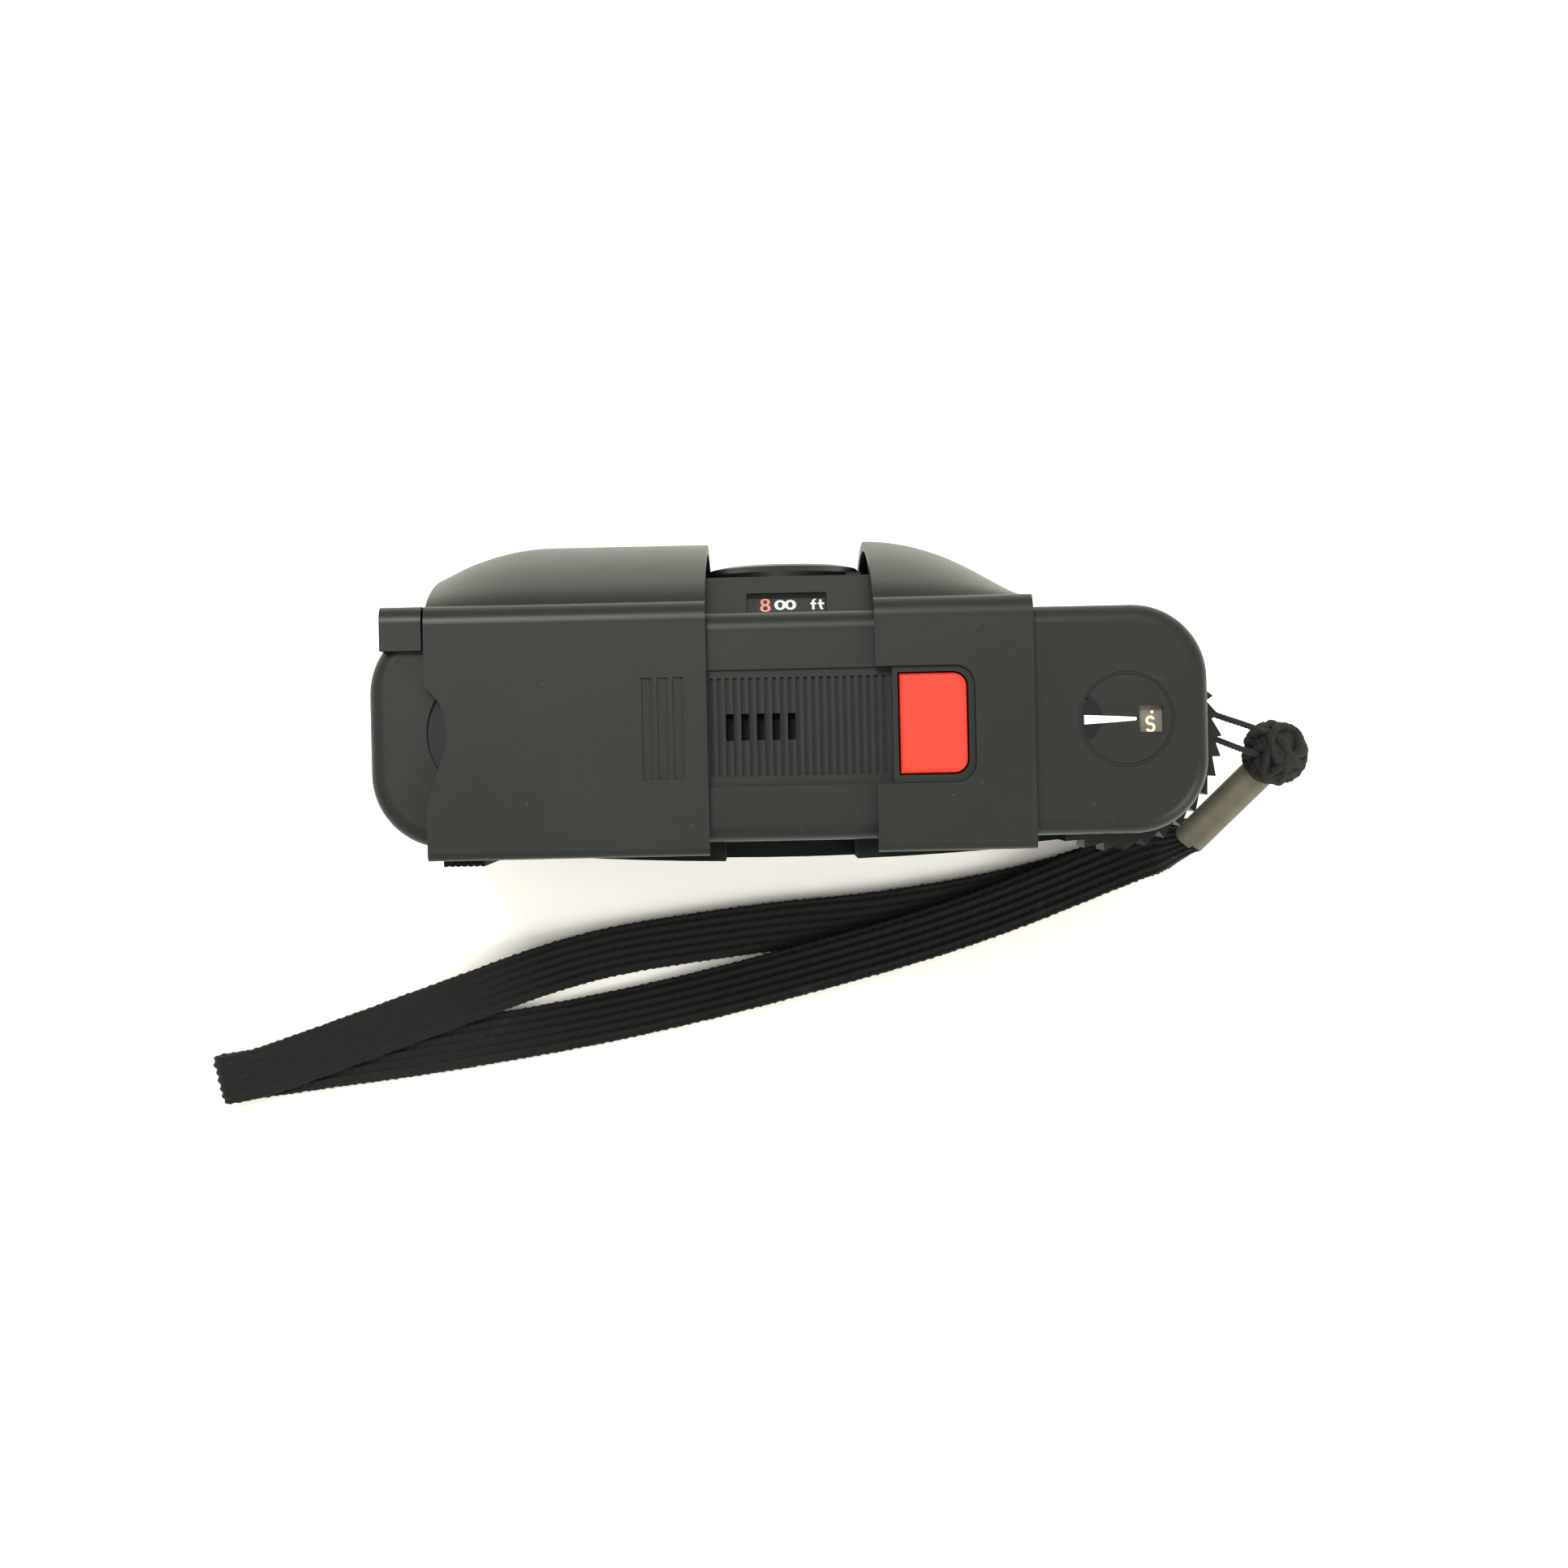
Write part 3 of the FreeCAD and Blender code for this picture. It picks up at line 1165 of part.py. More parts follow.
# ---- the pieces ------------------------------------------------------------------------------------
pieces = {
    "chassis": make_chassis,
    "top_cover": make_top_cover,
    "bottom_cover": make_bottom_cover,
    "front_panel": make_front_panel,
    "fixed_cover": make_fixed_cover,
    "sliding_cover": make_sliding_cover,
    "cover_stop": make_cover_stop,
    "lens_bezel": make_lens_bezel,
    "front_lens_cell": make_front_lens_cell,
    "rear_lens_cell": make_rear_lens_cell,
    "front_lens": lambda: lens_element(front_lens_radius, panel_front - 0.9, panel_front + 0.9, 0.9),
    "rear_lens": lambda: lens_element(rear_lens_radius, body_front + 6.2, body_front + 8.6, -0.4),
    "shutter_plate": make_shutter_plate,
    "shutter_blade_1": lambda: make_shutter_blade(1, 2.9),
    "shutter_blade_2": lambda: make_shutter_blade(-1, 2.1),
    "focus_ring": make_focus_ring,
    "distance_scale": make_distance_scale,
    "distance_window": make_distance_window,
    "aperture_lever": make_aperture_lever,
    "film_speed_lever": make_film_speed_lever,
    "viewfinder_window": make_viewfinder_window,
    "viewfinder_eyepiece": make_viewfinder_eyepiece,
    "beam_splitter": make_beam_splitter,
    "rangefinder_mirror": make_rangefinder_mirror,
    "rangefinder_window": make_rangefinder_window,
    "meter_window": make_meter_window,
    "meter_cell": make_meter_cell,
    "shutter_button": make_shutter_button,
    "counter_plate": make_counter_plate,
    "counter_dial": make_counter_dial,
    "circuit_board": make_circuit_board,
    "buzzer": make_buzzer,
    "advance_wheel": make_advance_wheel,
    "advance_shaft": make_advance_shaft,
    "takeup_spool": make_takeup_spool,
    "film_sprocket": make_film_sprocket,
    "rewind_bush": make_rewind_bush,
    "rewind_knob": make_rewind_knob,
    "rewind_fork": make_rewind_fork,
    "rewind_crank": make_rewind_crank,
    "crank_grip": make_crank_grip,
    "rewind_release": make_rewind_release,
    "rear_door": make_rear_door,
    "door_hinge_pin": lambda: hinge_pin_shape(0.0),
    "pressure_plate": make_pressure_plate,
    "pressure_spring": make_pressure_spring,
    "tripod_socket": make_tripod_socket,
    "battery_1": lambda: make_battery(0),
    "battery_2": lambda: make_battery(1),
    "battery_cap": make_battery_cap,
    "check_lever": make_check_lever,
    "base_screws": make_base_screws,
    "strap_lug": make_strap_lug,
    "lug_cord": make_lug_cord,
    "strap_knot": make_strap_knot,
    "strap_sleeve": make_strap_sleeve,
    "strap_lower_leg": lambda: make_strap("lower"),
    "strap_fold": lambda: make_strap("fold"),
    "strap_upper_leg": lambda: make_strap("upper"),
}

os.makedirs("parts", exist_ok=True)
for name, make in pieces.items():
    shape = make()
    b = shape.BoundBox
    print(name, "solids", len(shape.Solids), "valid", shape.isValid(), "volume", round(shape.Volume, 1),
          [round(v, 2) for v in (b.XMin, b.XMax, b.YMin, b.YMax, b.ZMin, b.ZMax)])
    shape.exportStep("parts/" + name + ".step")
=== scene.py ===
"""Looks of a compact clamshell film camera with a wrist strap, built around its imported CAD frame."""
import math
import random

import bmesh
import bpy
from mathutils import Matrix, Vector
from mathutils.noise import noise


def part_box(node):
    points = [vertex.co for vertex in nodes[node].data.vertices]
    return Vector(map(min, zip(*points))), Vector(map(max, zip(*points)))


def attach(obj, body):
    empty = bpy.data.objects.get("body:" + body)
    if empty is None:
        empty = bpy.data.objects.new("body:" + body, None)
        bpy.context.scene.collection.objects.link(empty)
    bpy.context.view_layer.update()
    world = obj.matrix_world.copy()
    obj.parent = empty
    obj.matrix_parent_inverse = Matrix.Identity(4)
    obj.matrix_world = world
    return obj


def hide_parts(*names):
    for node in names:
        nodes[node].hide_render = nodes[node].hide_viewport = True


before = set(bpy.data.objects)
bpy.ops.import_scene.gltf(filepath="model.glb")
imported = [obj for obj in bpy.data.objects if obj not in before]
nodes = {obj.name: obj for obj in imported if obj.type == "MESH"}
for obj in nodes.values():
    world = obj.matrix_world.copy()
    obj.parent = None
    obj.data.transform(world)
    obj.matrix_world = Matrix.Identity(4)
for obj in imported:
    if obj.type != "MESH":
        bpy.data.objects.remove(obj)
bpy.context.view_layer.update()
MM = 0.001


def points_mm(*triples):
    return [Vector(p) * MM for p in triples]


# ---- camera, floor and light ------------------------------------------------------------------------
def make_camera():
    """Straight down on the top plate, with the lens at the top of the picture."""
    data = bpy.data.cameras.new("view")
    data.sensor_width = 36.0
    data.lens = 60.0
    data.shift_x = 0.0155
    data.shift_y = -0.0186
    data.clip_end = 5.0
    cam = bpy.data.objects.new("view", data)
    cam.location = (4.7 * MM, 7.3 * MM, 375.5 * MM)
    cam.rotation_euler = (0.0, 0.0, math.radians(180 - 1.25))
    bpy.context.scene.collection.objects.link(cam)
    bpy.context.scene.camera = cam


def make_floor():
    mesh = bpy.data.meshes.new("floor")
    half = 3.0
    mesh.from_pydata([(-half, -half, 0), (half, -half, 0), (half, half, 0), (-half, half, 0)], [], [(0, 1, 2, 3)])
    floor = bpy.data.objects.new("floor", mesh)
    bpy.context.scene.collection.objects.link(floor)
    mesh.materials.append(floor_material())


def area_light(name, place, aim, size, power, colour):
    data = bpy.data.lights.new(name, "AREA")
    data.shape = "DISK"
    data.size = size
    data.energy = power
    data.color = colour
    lamp = bpy.data.objects.new(name, data)
    lamp.location = place
    lamp.rotation_euler = (Vector(aim) - Vector(place)).to_track_quat("-Z", "Y").to_euler()
    bpy.context.scene.collection.objects.link(lamp)


def make_light():
    world = bpy.data.worlds.new("room")
    world.use_nodes = True
    back = world.node_tree.nodes["Background"]
    back.inputs["Color"].default_value = (1.0, 0.99, 0.955, 1.0)
    back.inputs["Strength"].default_value = 1.15
    bpy.context.scene.world = world
    bpy.context.scene.view_settings.view_transform = "Standard"
    area_light("key", (0.16, -0.40, 0.88), (0, 0, 0.03), 0.30, 8.0, (1.0, 0.985, 0.95))
    area_light("fill", (-0.7, 0.5, 0.6), (0, 0, 0.03), 0.5, 6.0, (1.0, 0.99, 0.96))


# ---- materials --------------------------------------------------------------------------------------
class Nodes:
    """A material's node tree, with short names for what this script uses."""

    def __init__(self, name, colour, roughness, **sockets):
        self.material = bpy.data.materials.new(name)
        self.material.use_nodes = True
        self.tree = self.material.node_tree
        self.shader = self.tree.nodes["Principled BSDF"]
        self.shader.inputs["Base Color"].default_value = (*colour, 1.0)
        self.shader.inputs["Roughness"].default_value = roughness
        for key, value in sockets.items():
            self.shader.inputs[key.replace("_", " ")].default_value = value

    def add(self, kind, **values):
        node = self.tree.nodes.new(kind)
        for key, value in values.items():
            if hasattr(node, key):
                setattr(node, key, value)
            else:
                node.inputs[key.replace("_", " ")].default_value = value
        return node

    def link(self, source, target):
        self.tree.links.new(source, target)

    def place(self):
        return self.add("ShaderNodeTexCoord").outputs["Object"]

    def noise(self, scale, detail=3.0, rough=0.55, where=None):
        node = self.add("ShaderNodeTexNoise", Scale=scale, Detail=detail, Roughness=rough)
        self.link(where or self.place(), node.inputs["Vector"])
        return node.outputs["Fac"]

    def ramp(self, factor, *stops):
        node = self.add("ShaderNodeValToRGB")
        band = node.color_ramp
        while len(band.elements) < len(stops):
            band.elements.new(0.5)
        for element, (at, colour) in zip(band.elements, stops):
            element.position = at
            element.color = (*colour, 1.0) if len(colour) == 3 else colour
        self.link(factor, node.inputs["Fac"])
        return node.outputs["Color"]

    def span(self, factor, low, high):
        node = self.add("ShaderNodeMapRange")
        node.inputs["To Min"].default_value = low
        node.inputs["To Max"].default_value = high
        self.link(factor, node.inputs["Value"])
        return node.outputs["Result"]

    def bump(self, height, strength, distance):
        node = self.add("ShaderNodeBump", Strength=strength, Distance=distance)
        self.link(height, node.inputs["Height"])
        self.link(node.outputs["Normal"], self.shader.inputs["Normal"])

    def mix(self, factor, first, second):
        node = self.add("ShaderNodeMix", data_type="RGBA")
        node.inputs[6].default_value = (*first, 1.0)
        node.inputs[7].default_value = (*second, 1.0)
        self.link(factor, node.inputs[0])
        return node.outputs[2]

    def mix_from(self, factor, first, second):
        """Like mix, but the first colour comes from another node."""
        node = self.add("ShaderNodeMix", data_type="RGBA")
        node.inputs[7].default_value = (*second, 1.0)
        self.link(first, node.inputs[6])
        self.link(factor, node.inputs[0])
        return node.outputs[2]

    def threshold(self, factor, start, end, most):
        node = self.add("ShaderNodeMapRange")
        node.inputs["From Min"].default_value = start
        node.inputs["From Max"].default_value = end
        node.inputs["To Max"].default_value = most
        self.link(factor, node.inputs["Value"])
        return node.outputs["Result"]

    def stretched(self, scales):
        node = self.add("ShaderNodeMapping")
        node.inputs["Scale"].default_value = scales
        self.link(self.place(), node.inputs["Vector"])
        return node.outputs["Vector"]

    def set(self, socket, source):
        self.link(source, self.shader.inputs[socket])


def floor_material():
    n = Nodes("floor_paper", (0.95, 0.94, 0.88), 0.8)
    n.set("Base Color", n.ramp(n.noise(3.0), (0.3, (0.94, 0.93, 0.87)), (0.7, (0.96, 0.95, 0.895))))
    n.bump(n.noise(900.0), 0.04, 0.0002)
    return n.material


def moulded(name, dark, light, roughness, grain=0.06, dust=0.25, shine=0.2):
    """Satin moulded plastic: fine grain, patches a little more polished, and thin dust."""
    n = Nodes(name, dark, roughness, Specular_IOR_Level=shine)
    patches = n.noise(45.0, 4.0)
    specks = n.noise(2600.0, 2.0)
    colour = n.mix(n.span(patches, 0.0, 1.0), dark, light)
    n.set("Base Color", n.mix_from(n.threshold(specks, 0.71, 0.78, dust), colour, (0.16, 0.155, 0.135)))
    n.set("Roughness", n.span(patches, roughness - 0.05, roughness + 0.07))
    n.bump(n.noise(3800.0, 2.0), grain, 0.00003)
    return n.material


def metal(name, colour, roughness, streak=None):
    """Plain metal; streak stretches its fine marks along one axis."""
    n = Nodes(name, colour, roughness, Metallic=1.0)
    where = n.stretched(streak) if streak else n.place()
    marks = n.noise(1500.0, 3.0, where=where)
    n.set("Base Color", n.mix(marks, tuple(c * 0.8 for c in colour), colour))
    n.set("Roughness", n.span(marks, roughness * 0.8, roughness * 1.25))
    n.bump(marks, 0.03, 0.00002)
    return n.material


def glass(name, tint, film, index):
    """Clear glass with a coloured coating seen on its face."""
    n = Nodes(name, tint, 0.02, Transmission_Weight=1.0, IOR=index, Specular_Tint=(*film, 1.0))
    n.set("Roughness", n.span(n.noise(60.0), 0.01, 0.04))
    return n.material


def dull(name, first, second, roughness, scale, height=0.1):
    """Plain non-metal surface mottled between two colours."""
    n = Nodes(name, first, roughness, Specular_IOR_Level=0.25)
    n.set("Base Color", n.mix(n.noise(scale, 4.0), first, second))
    n.set("Roughness", n.span(n.noise(scale * 2.3), roughness - 0.07, roughness + 0.07))
    n.bump(n.noise(scale * 5.0), height, 0.00005)
    return n.material


def printed(name, colour):
    """Ink of a dial mark, very slightly worn."""
    n = Nodes(name, colour, 0.5)
    n.set("Base Color", n.mix(n.noise(1800.0), tuple(c * 0.86 for c in colour), colour))
    n.set("Roughness", n.span(n.noise(900.0), 0.42, 0.58))
    return n.material


def braid_material():
    n = Nodes("braid", (0.012, 0.012, 0.011), 0.72, Specular_IOR_Level=0.12, Sheen_Weight=0.04,
              Sheen_Roughness=0.5)
    fibres = n.noise(5200.0, 3.0)
    colour = n.mix(fibres, (0.002, 0.0026, 0.0024), (0.012, 0.0135, 0.012))
    fade = n.noise(120.0, 3.0)
    n.set("Base Color", n.mix_from(n.threshold(fade, 0.68, 0.8, 0.35), colour, (0.045, 0.044, 0.04)))
    n.bump(fibres, 0.5, 0.00008)
    return n.material


# ---- cords ------------------------------------------------------------------------------------------
LUG_CORD_MM = (
    (-62.6, 9.3, 33.4), (-60.8, 8.9, 35.5), (-58.9, 8.4, 37.7), (-56.8, 7.8, 39.8), (-54.6, 7.0, 41.6),
    (-52.4, 6.2, 42.7), (-50.3, 5.45, 43.0), (-49.15, 3.95, 43.05), (-50.3, 2.5, 43.1), (-52.4, 3.1, 43.0),
    (-54.6, 3.9, 42.2), (-57.0, 4.6, 40.5), (-59.3, 5.3, 38.5), (-61.4, 6.0, 36.3), (-62.9, 6.8, 34.2),
)
STRAP_MM = (
    (-53.8, 19.8, 20.8), (-52.3, 20.6, 18.2), (-51.2, 21.1, 14.6), (-50.0, 21.6, 10.8), (-48.0, 22.5, 7.3),
    (-44.6, 24.0, 4.9), (-39.2, 26.2, 3.6), (-31.2, 29.3, 2.8), (-22.0, 32.4, 2.6), (-12.5, 35.1, 2.6),
    (-3.0, 37.5, 2.5), (6.0, 39.8, 2.0), (16.0, 42.2, 0.9), (30.0, 45.0, 0.8), (46.0, 47.5, 0.8),
    (58.0, 49.1, 0.8), (67.0, 50.1, 0.8), (72.8, 50.85, 0.8), (77.4, 51.4, 0.8), (80.4, 51.8, 0.8),
    (82.4, 52.05, 0.8), (82.4, 52.05, 3.0), (80.4, 51.8, 3.0), (77.0, 51.1, 3.0), (72.0, 49.5, 2.9),
    (64.2, 46.9, 2.7), (54.6, 43.6, 2.5), (46.0, 40.7, 2.5), (37.0, 37.6, 1.6), (27.0, 35.0, 0.8),
    (14.0, 33.2, 0.8), (2.0, 31.8, 0.8), (-9.0, 31.1, 0.8), (-19.0, 29.9, 0.8), (-27.0, 28.6, 0.85),
    (-34.2, 27.1, 1.0), (-40.4, 25.4, 1.5), (-45.5, 23.5, 2.7), (-49.4, 21.7, 5.2), (-51.6, 20.7, 8.8),
    (-52.9, 20.0, 12.6), (-53.9, 19.4, 16.3), (-54.6, 18.9, 19.6),
)


def nurbs_line(name, points, steps):
    """Points along the smooth NURBS line of a route."""
    curve = bpy.data.curves.new(name, "CURVE")
    curve.dimensions = "3D"
    spline = curve.splines.new("NURBS")
    spline.points.add(len(points) - 1)
    for slot, p in zip(spline.points, points):
        slot.co = (*p, 1.0)
    spline.order_u = 3
    spline.use_endpoint_u = True
    spline.resolution_u = steps
    holder = bpy.data.objects.new(name, curve)
    bpy.context.scene.collection.objects.link(holder)
    line = [v.co.copy() for v in bpy.data.meshes.new_from_object(holder).vertices]
    bpy.data.objects.remove(holder)
    bpy.data.curves.remove(curve)
    return line


def evenly(line, gap):
    """The same line at an even spacing of about gap."""
    along = [0.0]
    for a, b in zip(line, line[1:]):
        along.append(along[-1] + (b - a).length)
    count = max(2, round(along[-1] / gap))
    even = []
    k = 0
    for i in range(count + 1):
        s = along[-1] * i / count
        while k < len(line) - 2 and along[k + 1] < s:
            k += 1
        t = (s - along[k]) / max(along[k + 1] - along[k], 1e-9)
        even.append(line[k].lerp(line[k + 1], min(max(t, 0.0), 1.0)))
    return even


def headings(line):
    ahead = []
    for i in range(len(line)):
        a = line[max(i - 1, 0)]
        b = line[min(i + 1, len(line) - 1)]
        ahead.append((b - a).normalized())
    return ahead


def carried(line, start, first):
    """Direction first, square to the line at index start, carried along it both ways without twist."""
    ahead = headings(line)
    out = [None] * len(line)
    out[start] = (first - ahead[start] * first.dot(ahead[start])).normalized()
    for step, stop in ((1, len(line)), (-1, -1)):
        i = start + step
        while i != stop:
            side = ahead[i - step].rotation_difference(ahead[i]) @ out[i - step]
            out[i] = (side - ahead[i] * side.dot(ahead[i])).normalized()
            i += step
    return ahead, out


def mesh_piece(name, vertices, faces, material, smooth=True):
    mesh = bpy.data.meshes.new(name)
    mesh.from_pydata([tuple(v) for v in vertices], [], faces)
    mesh.validate()
    mesh.update()
    bm = bmesh.new()
    bm.from_mesh(mesh)
    bmesh.ops.recalc_face_normals(bm, faces=bm.faces)
    bm.to_mesh(mesh)
    bm.free()
    if smooth:
        mesh.shade_smooth()
    mesh.materials.append(material)
    piece = bpy.data.objects.new(name, mesh)
    bpy.context.scene.collection.objects.link(piece)
    return piece


def loft(rings, closed_ends=True):
    """Vertices and faces of a closed skin through rings of equally many points."""
    size = len(rings[0])
    vertices = [p for ring in rings for p in ring]
    faces = []
    for i in range(len(rings) - 1):
        for j in range(size):
            k = (j + 1) % size
            faces.append((i * size + j, i * size + k, (i + 1) * size + k, (i + 1) * size + j))
    if closed_ends:
        faces.append(tuple(range(size))[::-1])
        faces.append(tuple((len(rings) - 1) * size + j for j in range(size)))
    return vertices, faces


def strap_profile():
    """Half-width and half-height points of the braid's section: lengthwise ribs and rounded selvedges."""
    ribs = 6
    across = 3.5
    thick = 0.62
    steps = ribs * 8
    top = []
    for i in range(steps + 1):
        u = -1 + 2 * i / steps
        edge = max(0.0, 1 - abs(u) ** 14)
        ridge = 0.13 * math.cos(math.pi * ribs * u)
        top.append((across * u, (thick + ridge) * edge ** 0.5))
    return top + [(x, -z) for x, z in reversed(top[1:-1])]


def make_strap(material):
    """The strap from the clamp out to its fold and back, narrowing where it enters the clamp."""
    gap = 0.42
    line = evenly(nurbs_line("strap_line", points_mm(*STRAP_MM), 12), gap * MM)
    turn = max(range(len(line)), key=lambda i: line[i].x)
    across = headings(line)[turn].cross(Vector((0, 0, 1)))
    level = (line[0] - line[turn]).cross(Vector((0, 0, 1))).normalized()
    ahead, side = carried(line, turn, level if across.length < 0.5 else across)
    profile = strap_profile()
    rings = []
    for i, p in enumerate(line):
        rise = ahead[i].cross(side[i])
        s = i * gap
        from_end = min(s, (len(line) - 1) * gap - s)
        narrow = 0.56 + 0.44 * smooth(from_end / 13.0)
        ring = []
        for x, z in profile:
            lane = round((x / 3.5 + 1) * 3)
            stitch = math.sin(2 * math.pi * s / 1.7 + (math.pi if lane % 2 else 0.0) + 0.5 * x)
            tooth = 0.14 * max(0.0, math.sin(2 * math.pi * s / 1.15 + (0 if x > 0 else 1.7))) * (abs(x) > 3.1)
            loose = 0.05 * noise(Vector((x * 1.3, s * 0.9, z)))
            wide = (x + math.copysign(tooth, x) + loose) * narrow
            high = z * (1 + 0.10 * stitch) + loose * 0.5
            q = p + (side[i] * wide + rise * high) * MM
            q.z = max(q.z, 0.03 * MM)
            ring.append(q)
        rings.append(ring)
    strap = mesh_piece("wrist_strap", *loft(rings), material)
    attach(strap, "root")
    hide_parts("strap_lower_leg", "strap_fold", "strap_upper_leg")
    return strap, line, ahead, side


def smooth(t):
    t = min(max(t, 0.0), 1.0)
    return t * t * (3 - 2 * t)


def make_fuzz(line, ahead, side, material):
    """Loose fibres that stand off the strap's two edges."""
    rng = random.Random(7)
    vertices = []
    faces = []
    for _ in range(900):
        i = rng.randrange(8, len(line) - 8)
        rise = ahead[i].cross(side[i])
        hand = rng.choice((-1, 1))
        root = line[i] + (side[i] * hand * 3.35 + rise * rng.uniform(-0.45, 0.5)) * MM
        way = side[i] * hand + ahead[i] * rng.uniform(-1.3, 1.3) + rise * rng.uniform(-0.1, 0.5)
        tip = root + way.normalized() * rng.uniform(0.25, 0.75) * MM
        tip.z = max(tip.z, 0.05 * MM)
        root.z = max(root.z, 0.05 * MM)
        wide = ahead[i] * 0.022 * MM
        k = len(vertices)
        vertices += [root - wide, root + wide, root + rise * 0.04 * MM, tip]
        faces += [(k, k + 1, k + 3), (k + 1, k + 2, k + 3), (k + 2, k, k + 3), (k, k + 2, k + 1)]
    fuzz = mesh_piece("strap_fuzz", vertices, faces, material)
    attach(fuzz, "root")


def make_tube(line, radius, strands, lay, sides=14):
    """Skin of a twisted cord along a line; lay is the length of one twist."""
    ahead, side = carried(line, 0, Vector((0.3, 0.2, 1)))
    gap = (line[1] - line[0]).length / MM
    rings = []
    for i, p in enumerate(line):
        rise = ahead[i].cross(side[i])
        ring = []
        for j in range(sides):
            a = 2 * math.pi * j / sides
            r = radius * (0.92 + 0.08 * math.cos(strands * (a - i * gap * 2 * math.pi / lay)))
            ring.append(p + (side[i] * math.cos(a) + rise * math.sin(a)) * r * MM)
        rings.append(ring)
    return loft(rings)


def make_lug_cord(material):
    line = evenly(nurbs_line("lug_line", points_mm(*LUG_CORD_MM), 12), 0.12 * MM)
    cord = mesh_piece("lug_loop", *make_tube(line, 0.42, 3, 2.2, 18), material)
    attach(cord, "root")
    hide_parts("lug_cord")
    return cord, line


def make_knot(material):
    """Bulky knot: cord wound in many loose turns round a core, with loose fibres."""
    low, high = (Vector(c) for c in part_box("strap_knot"))
    centre = (low + high) / 2
    radius = (high.x - low.x) / 2
    rng = random.Random(21)
    vertices = []
    faces = []

    def join(part):
        k = len(vertices)
        vertices.extend(part[0])
        faces.extend(tuple(k + i for i in f) for f in part[1])

    rings = []
    for i in range(1, 16):
        polar = math.pi * i / 16
        ring = []
        for j in range(28):
            a = 2 * math.pi * j / 28
            d = Vector((math.sin(polar) * math.cos(a), math.sin(polar) * math.sin(a), math.cos(polar)))
            ring.append(centre + d * radius * (0.74 + 0.07 * noise(d * 2.4)))
        rings.append(ring)
    join(loft(rings))
    for turn in range(15):
        axis = Vector((rng.gauss(0, 1), rng.gauss(0, 1), rng.gauss(0, 0.8))).normalized()
        across = axis.orthogonal().normalized()
        third = axis.cross(across)
        lift = rng.uniform(-0.42, 0.42)
        wave = rng.uniform(0, 6.28)
        loop = []
        steps = 72
        for i in range(steps + 1):
            a = 2 * math.pi * i / steps
            flat = across * math.cos(a) + third * math.sin(a) + axis * (lift + 0.10 * math.sin(3 * a + wave))
            loop.append(centre + flat.normalized() * radius * (0.80 + 0.05 * math.sin(2 * a + wave)))
        join(make_tube(loop, 0.62, 3, 2.4, 12))
    for _ in range(520):
        d = Vector((rng.gauss(0, 1), rng.gauss(0, 1), rng.gauss(0, 1))).normalized()
        root = centre + d * radius * 0.9
        way = (d + Vector((rng.gauss(0, 0.8), rng.gauss(0, 0.8), rng.gauss(0, 0.8)))).normalized()
        tip = root + way * rng.uniform(0.3, 0.9) * MM
        wide = way.orthogonal().normalized() * 0.03 * MM
        deep = way.cross(wide).normalized() * 0.03 * MM
        k = len(vertices)
        vertices.extend([root - wide, root + wide, root + deep, tip])
        faces.extend([(k, k + 1, k + 3), (k + 1, k + 2, k + 3), (k + 2, k, k + 3), (k, k + 2, k + 1)])
    knot = mesh_piece("cord_knot", vertices, faces, material)
    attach(knot, "root")
    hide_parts("strap_knot")


# ---- printed marks ----------------------------------------------------------------------------------
def arc(cx, cy, rx, ry, start, end, steps=28):
    """Points of an elliptic arc between two angles in degrees."""
    out = []
    for i in range(steps + 1):
        a = math.radians(start + (end - start) * i / steps)
        out.append((cx + rx * math.cos(a), cy + ry * math.sin(a)))
    return out


def stroke(line, width):
    """Flat ribbon along a plan line: left and right points for each place on it."""
    left = []
    right = []
    for i, (x, y) in enumerate(line):
        x0, y0 = line[max(i - 1, 0)]
        x1, y1 = line[min(i + 1, len(line) - 1)]
        size = math.hypot(x1 - x0, y1 - y0)
        nx, ny = -(y1 - y0) / size * width / 2, (x1 - x0) / size * width / 2
        left.append((x + nx, y + ny))
        right.append((x - nx, y - ny))
    return left + right[::-1]


def ribbon_faces(count):
    half = count // 2
    return [(i, i + 1, count - 2 - i, count - 1 - i) for i in range(half - 1)]


def print_marks(name, outlines, origin, right, up, lift, material, body):
    """Thin raised ink from flat ribbons, set in the plane through origin with the given directions."""
    out = right.cross(up).normalized()
    vertices = []
    faces = []
    for outline in outlines:
        base = len(vertices)
        count = len(outline)
        for level in (lift, lift + 0.015):
            vertices += [origin + (right * x + up * y + out * level) * MM for x, y in outline]
        sheet = ribbon_faces(count)
        faces += [tuple(base + i for i in f) for f in sheet]
        faces += [tuple(base + count + i for i in reversed(f)) for f in sheet]
        faces += [(base + i, base + (i + 1) % count, base + count + (i + 1) % count, base + count + i)
                  for i in range(count)]
    marks = mesh_piece(name, vertices, faces, material, smooth=False)
    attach(marks, body)
    return marks


